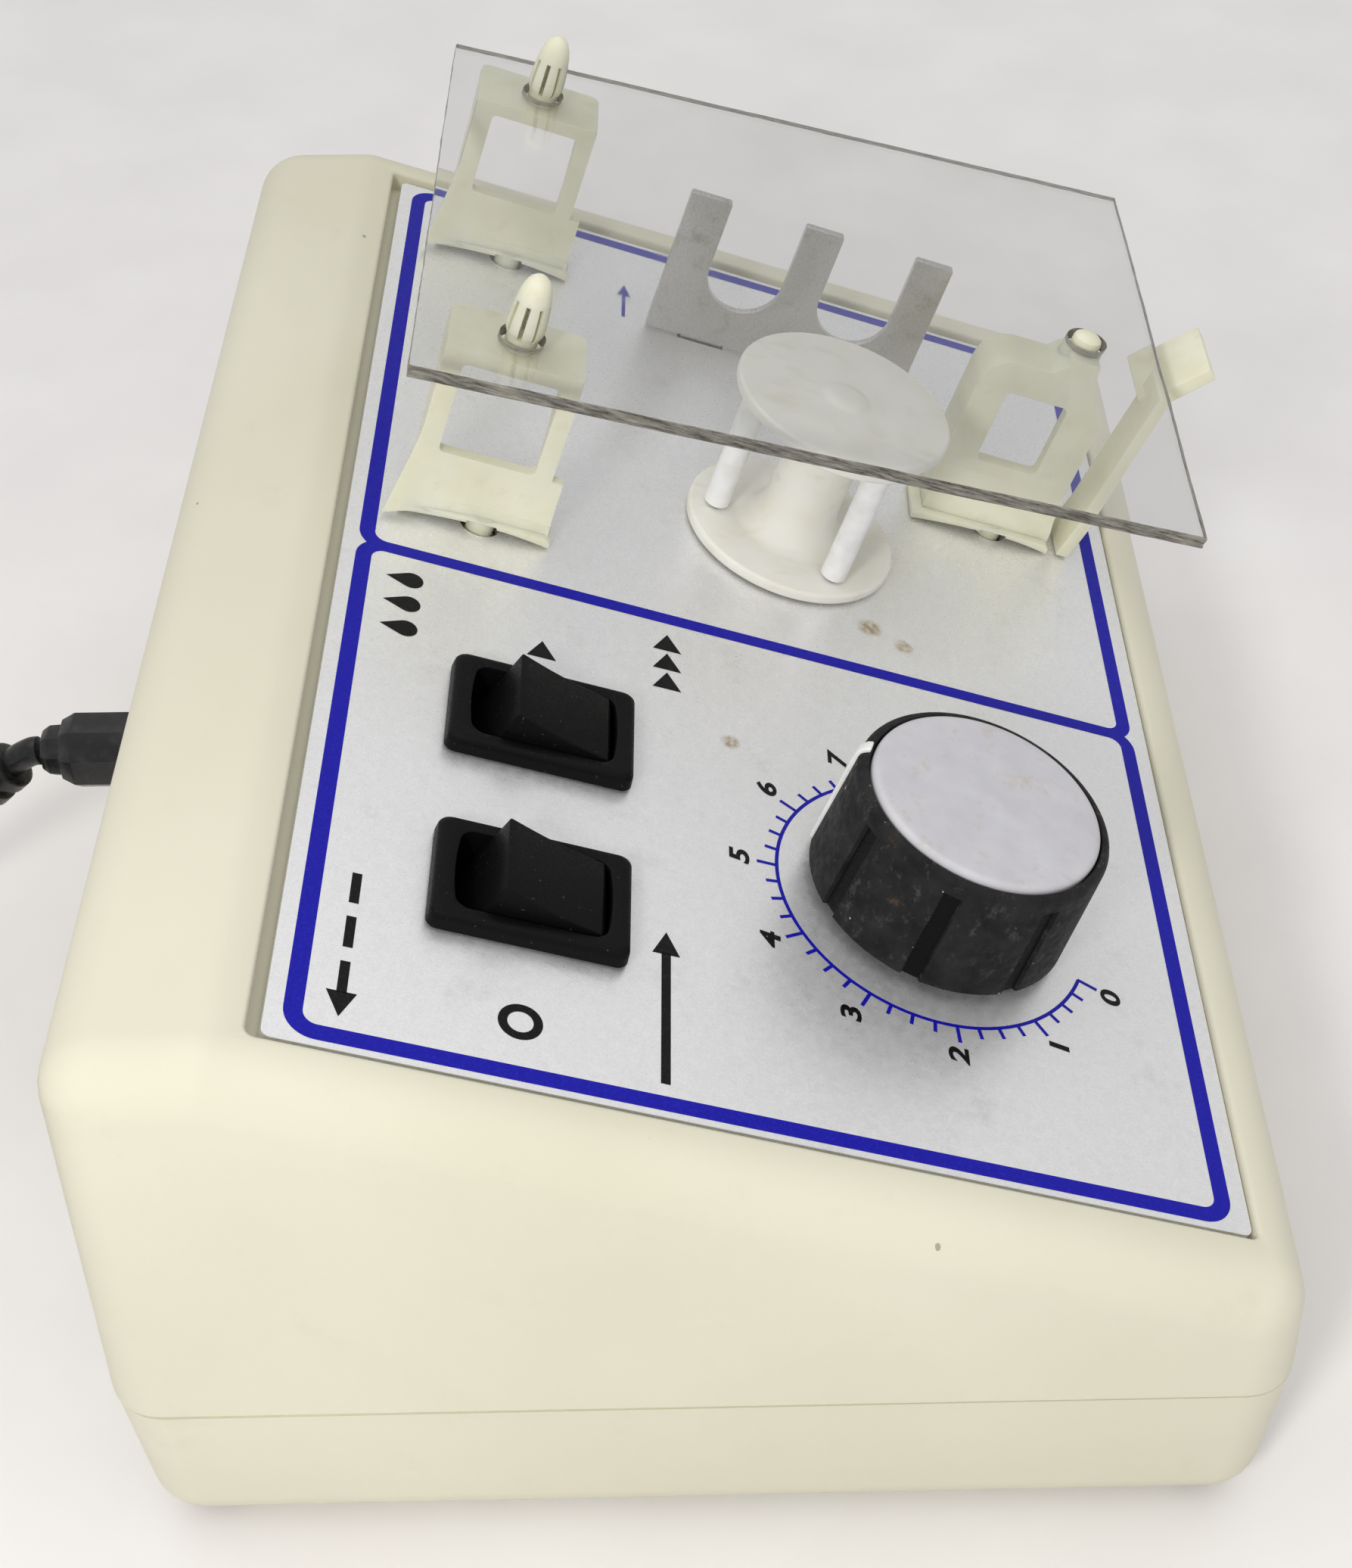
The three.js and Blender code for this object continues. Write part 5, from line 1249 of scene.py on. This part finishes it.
def front_support():
    """The bracket beside the lever, with a neck that carries the peg in the cover's third hole."""
    u = 76.6
    v0, v1, top = -22.5, -4.5, 24.0
    low_w = FOOT_TOP - 1
    peg_top = extent("support_front")[1].z - 3
    neck = [(v1 - 4.5, top), (-13.2, top), (-14.1, top + 1.0), (-14.9, peg_top - 1), (-15.0, peg_top),
            (-18.8, peg_top), (-18.9, peg_top - 1), (-19.8, top - 1.5), (v0, top - 6.2)]
    shoulder_r = 4.2
    shoulder = [(v1 - shoulder_r * (1 - math.cos(a)), top - shoulder_r * (1 - math.sin(a)))
                for a in (0, 0.3, 0.6, 0.9, 1.2, 1.45)]
    silhouette = [(v0, low_w), (v1, low_w), *shoulder, *neck]
    web = slab_u(silhouette, u, u + 2)
    rim = slab_u(silhouette, u + 0.1, u + 7)
    inside = [(v0 + 2, -1), (v1 - 2, -1), (v1 - 2, top - 5), (v1 - 5, top - 2), (-17, top - 2),
              (v0 + 2, top - 7)]
    hollow = slab_u(rounded(inside, 0.9, 4), u + 2, u + 9)
    window = slab_u(rounded(rectangle((-17.4, 8.8), (-8.8, 19.6)), 0.8, 5), u - 6, u + 6)
    flare = [(u + 6, 1.2), (u + 6, FOOT_TOP), (u + 2, FOOT_TOP + 0.4), (u + 2, 7), (u, 7), (u - 0.2, 5.4),
             (u - 0.8, 3.8), (u - 1.5, 2.8), (u - 1.7, 1.9), (u - 1.6, 1.2)]
    skirt = slab_v(flare, v0, v1 + 0.2)
    seat = lathe([(0, top - 3), (3.3, top - 3), (3.1, top - 1), (2.7, peg_top - 1.2), (2.6, peg_top),
                  (0, peg_top)], 48, FRONT_PEG)
    peg = lathe([(0, peg_top - 1), (1.95, peg_top - 1), (1.95, peg_top + 2.0), (1.8, peg_top + 2.4),
                 (1.3, peg_top + 2.8), (0.6, peg_top + 2.96), (0, peg_top + 3)], 48, FRONT_PEG)
    frame_part = bevelled(joined([web, rim, skirt], [hollow, window]), 0.25, 2, 38)
    return together([frame_part, *sprung_foot(76.2, -14.6, u - 3, u + 5, v0 - 0.2, v1 + 1.5), seat, peg])


def release_lever():
    """An upright leaf that leans forward, its flared root, and the wider tab past the cover's edge."""
    leaf = slab_u([(-26, 0.3), (-26.9, 5.6), (-28.6, 26.3), (-27, 26.3), (-25.1, 5.6), (-24.2, 0.3)], 74, 81)
    tab = slab_u([(-26, 22.9), (-33, 31), (-34.5, 29.7), (-27.5, 21.6)], 78.4, 89)
    return bevelled(joined([leaf, tab]), 0.35, 3, 38)


for name, mesh, body, node in (("support_left", rear_support(0), "case", "support_rear_left"),
                               ("support_right", rear_support(HEAD_PITCH), "case", "support_rear_right"),
                               ("support_lever_side", front_support(), "case", "support_front"),
                               ("lever_tab", release_lever(), "release_lever", "release_lever")):
    show(name, mesh, PANEL, NYLON, body, [node])

# ---------------------------------------------------------------- clear cover
COVER_T = 1.6
COVER_REAR = (68.3, 22.9)
COVER_FRONT = (-27, 29.3)


def cover_plate():
    """A clear sheet with sawn, slightly wavy edges and three drilled holes."""
    low, high = extent("cover_plate")
    slant = math.hypot(COVER_FRONT[1] - COVER_REAR[1], COVER_REAR[0] - COVER_FRONT[0])
    corners = [(low.x, -slant), (high.x, -slant), (120.9, 0), (low.x, 0)]
    edge = []
    for i, corner in enumerate(corners):
        start, end = Vector(corner), Vector(corners[(i + 1) % 4])
        steps = int((end - start).length / 0.9)
        edge += [start.lerp(end, k / steps) for k in range(steps)]
    middle = sum(edge, Vector((0, 0))) / len(edge)
    near_edge = (39, 47)        # how far from the middle a point counts as on a side
    rings = []
    for z, inset, rough in ((-COVER_T, 0.16, 0.05), (-1.42, 0.04, 0.1), (-1.0, 0.02, 0.16),
                            (-0.6, 0.02, 0.16), (-0.2, 0.04, 0.1), (0, 0.16, 0.05)):
        ring = []
        for p in edge:
            wave = noise.noise(Vector((p.x * 0.55, p.y * 0.55, z * 1.3)))
            chip = noise.noise(Vector((p.x * 0.12 + 7, p.y * 0.12, 0)))
            pull = inset + rough * (1 + wave) + 0.1 * (1 + chip)
            inward = Vector([math.copysign(1, m - q) if abs(q - m) > near else 0
                             for q, m, near in zip(p, middle, near_edge)])
            ring.append((*(p + inward * pull), z))
        rings.append(ring)
    tilt = math.atan2(COVER_FRONT[1] - COVER_REAR[1], COVER_REAR[0] - COVER_FRONT[0])
    sheet = moved(loft(rings), at(v=COVER_REAR[0], w=COVER_REAR[1]) @ Matrix.Rotation(-tilt, 4, "X"))
    holes = [lathe([(0, 10), (2.7, 10), (2.7, 40), (0, 40)], 64, place)
             for place in (REAR_HEAD, (REAR_HEAD[0] + HEAD_PITCH, REAR_HEAD[1]), FRONT_PEG)]
    cut = joined([sheet], holes)
    for polygon in cut.polygons:
        polygon.material_index = 0 if abs(polygon.normal.z) > 0.8 else 1
    return cut


def show_cover():
    mesh = cover_plate()
    indices = [polygon.material_index for polygon in mesh.polygons]
    show("clear_cover", mesh, PANEL, [ACRYLIC, SAWN], "cover", ["cover_plate"])
    mesh.polygons.foreach_set("material_index", indices)


show_cover()

# ---------------------------------------------------------------- CAD nodes that show as they are
CAD_FINISHES = {
    "front_panel": FOIL, "power_jack": BLACK, "circuit_board": LAMINATE, "capacitor": SLEEVE,
    "output_gear": BRASS, "idler_gear": BRASS, "motor_pinion": BRASS,
    "adapter_blade_1": BRASS, "adapter_blade_2": BRASS,
}
for node_name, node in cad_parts.items():
    if node.hide_render:
        continue
    node.data.materials.clear()
    node.data.materials.append(CAD_FINISHES.get(node_name, ZINC))
    node.data.shade_smooth()
    node.data.set_sharp_from_angle(angle=math.radians(28))


# ---------------------------------------------------------------- floor and light
def backdrop():
    """A plain pale bench top."""
    bench = plain_stock("bench_top", (0.84, 0.815, 0.815), (0.88, 0.86, 0.855), 25, (0.4, 0.55), 0.01)
    mesh = bpy.data.meshes.new("bench")
    mesh.from_pydata([(-3, -3, 0), (3, -3, 0), (3, 3, 0), (-3, 3, 0)], [], [(0, 1, 2, 3)])
    mesh.materials.append(bench)
    piece = put("bench", mesh)


def area_light(name, place, aim, size, power, colour=(1, 1, 1), mirrored=True):
    """A round lamp that faces a point; one that isn't mirrored leaves no image in the clear cover."""
    data = bpy.data.lights.new(name, "AREA")
    data.shape = "DISK"
    data.size = size
    data.energy = power
    data.color = colour
    light = put(name, data)
    light.location = place
    light.rotation_euler = (Vector(aim) - Vector(place)).to_track_quat("-Z", "Y").to_euler()
    light.visible_glossy = light.visible_transmission = mirrored


backdrop()
area_light("key", (-0.36, 0.13, 0.31), (0, 0, 0.04), 0.08, 0.8, (1.0, 0.985, 0.95), mirrored=False)
area_light("fill", (-0.7, -0.5, 0.9), (0, 0, 0.05), 1.0, 0.8)
area_light("overhead", (0.3, 0.1, 2.2), (0, 0, 0), 3.0, 15)
world = bpy.data.worlds.new("studio")
world.use_nodes = True
sky = world.node_tree.nodes["Background"].inputs
sky["Color"].default_value = (1, 1, 1, 1)
sky["Strength"].default_value = 0.55
bpy.context.scene.world = world
bpy.context.scene.view_settings.view_transform = "Standard"
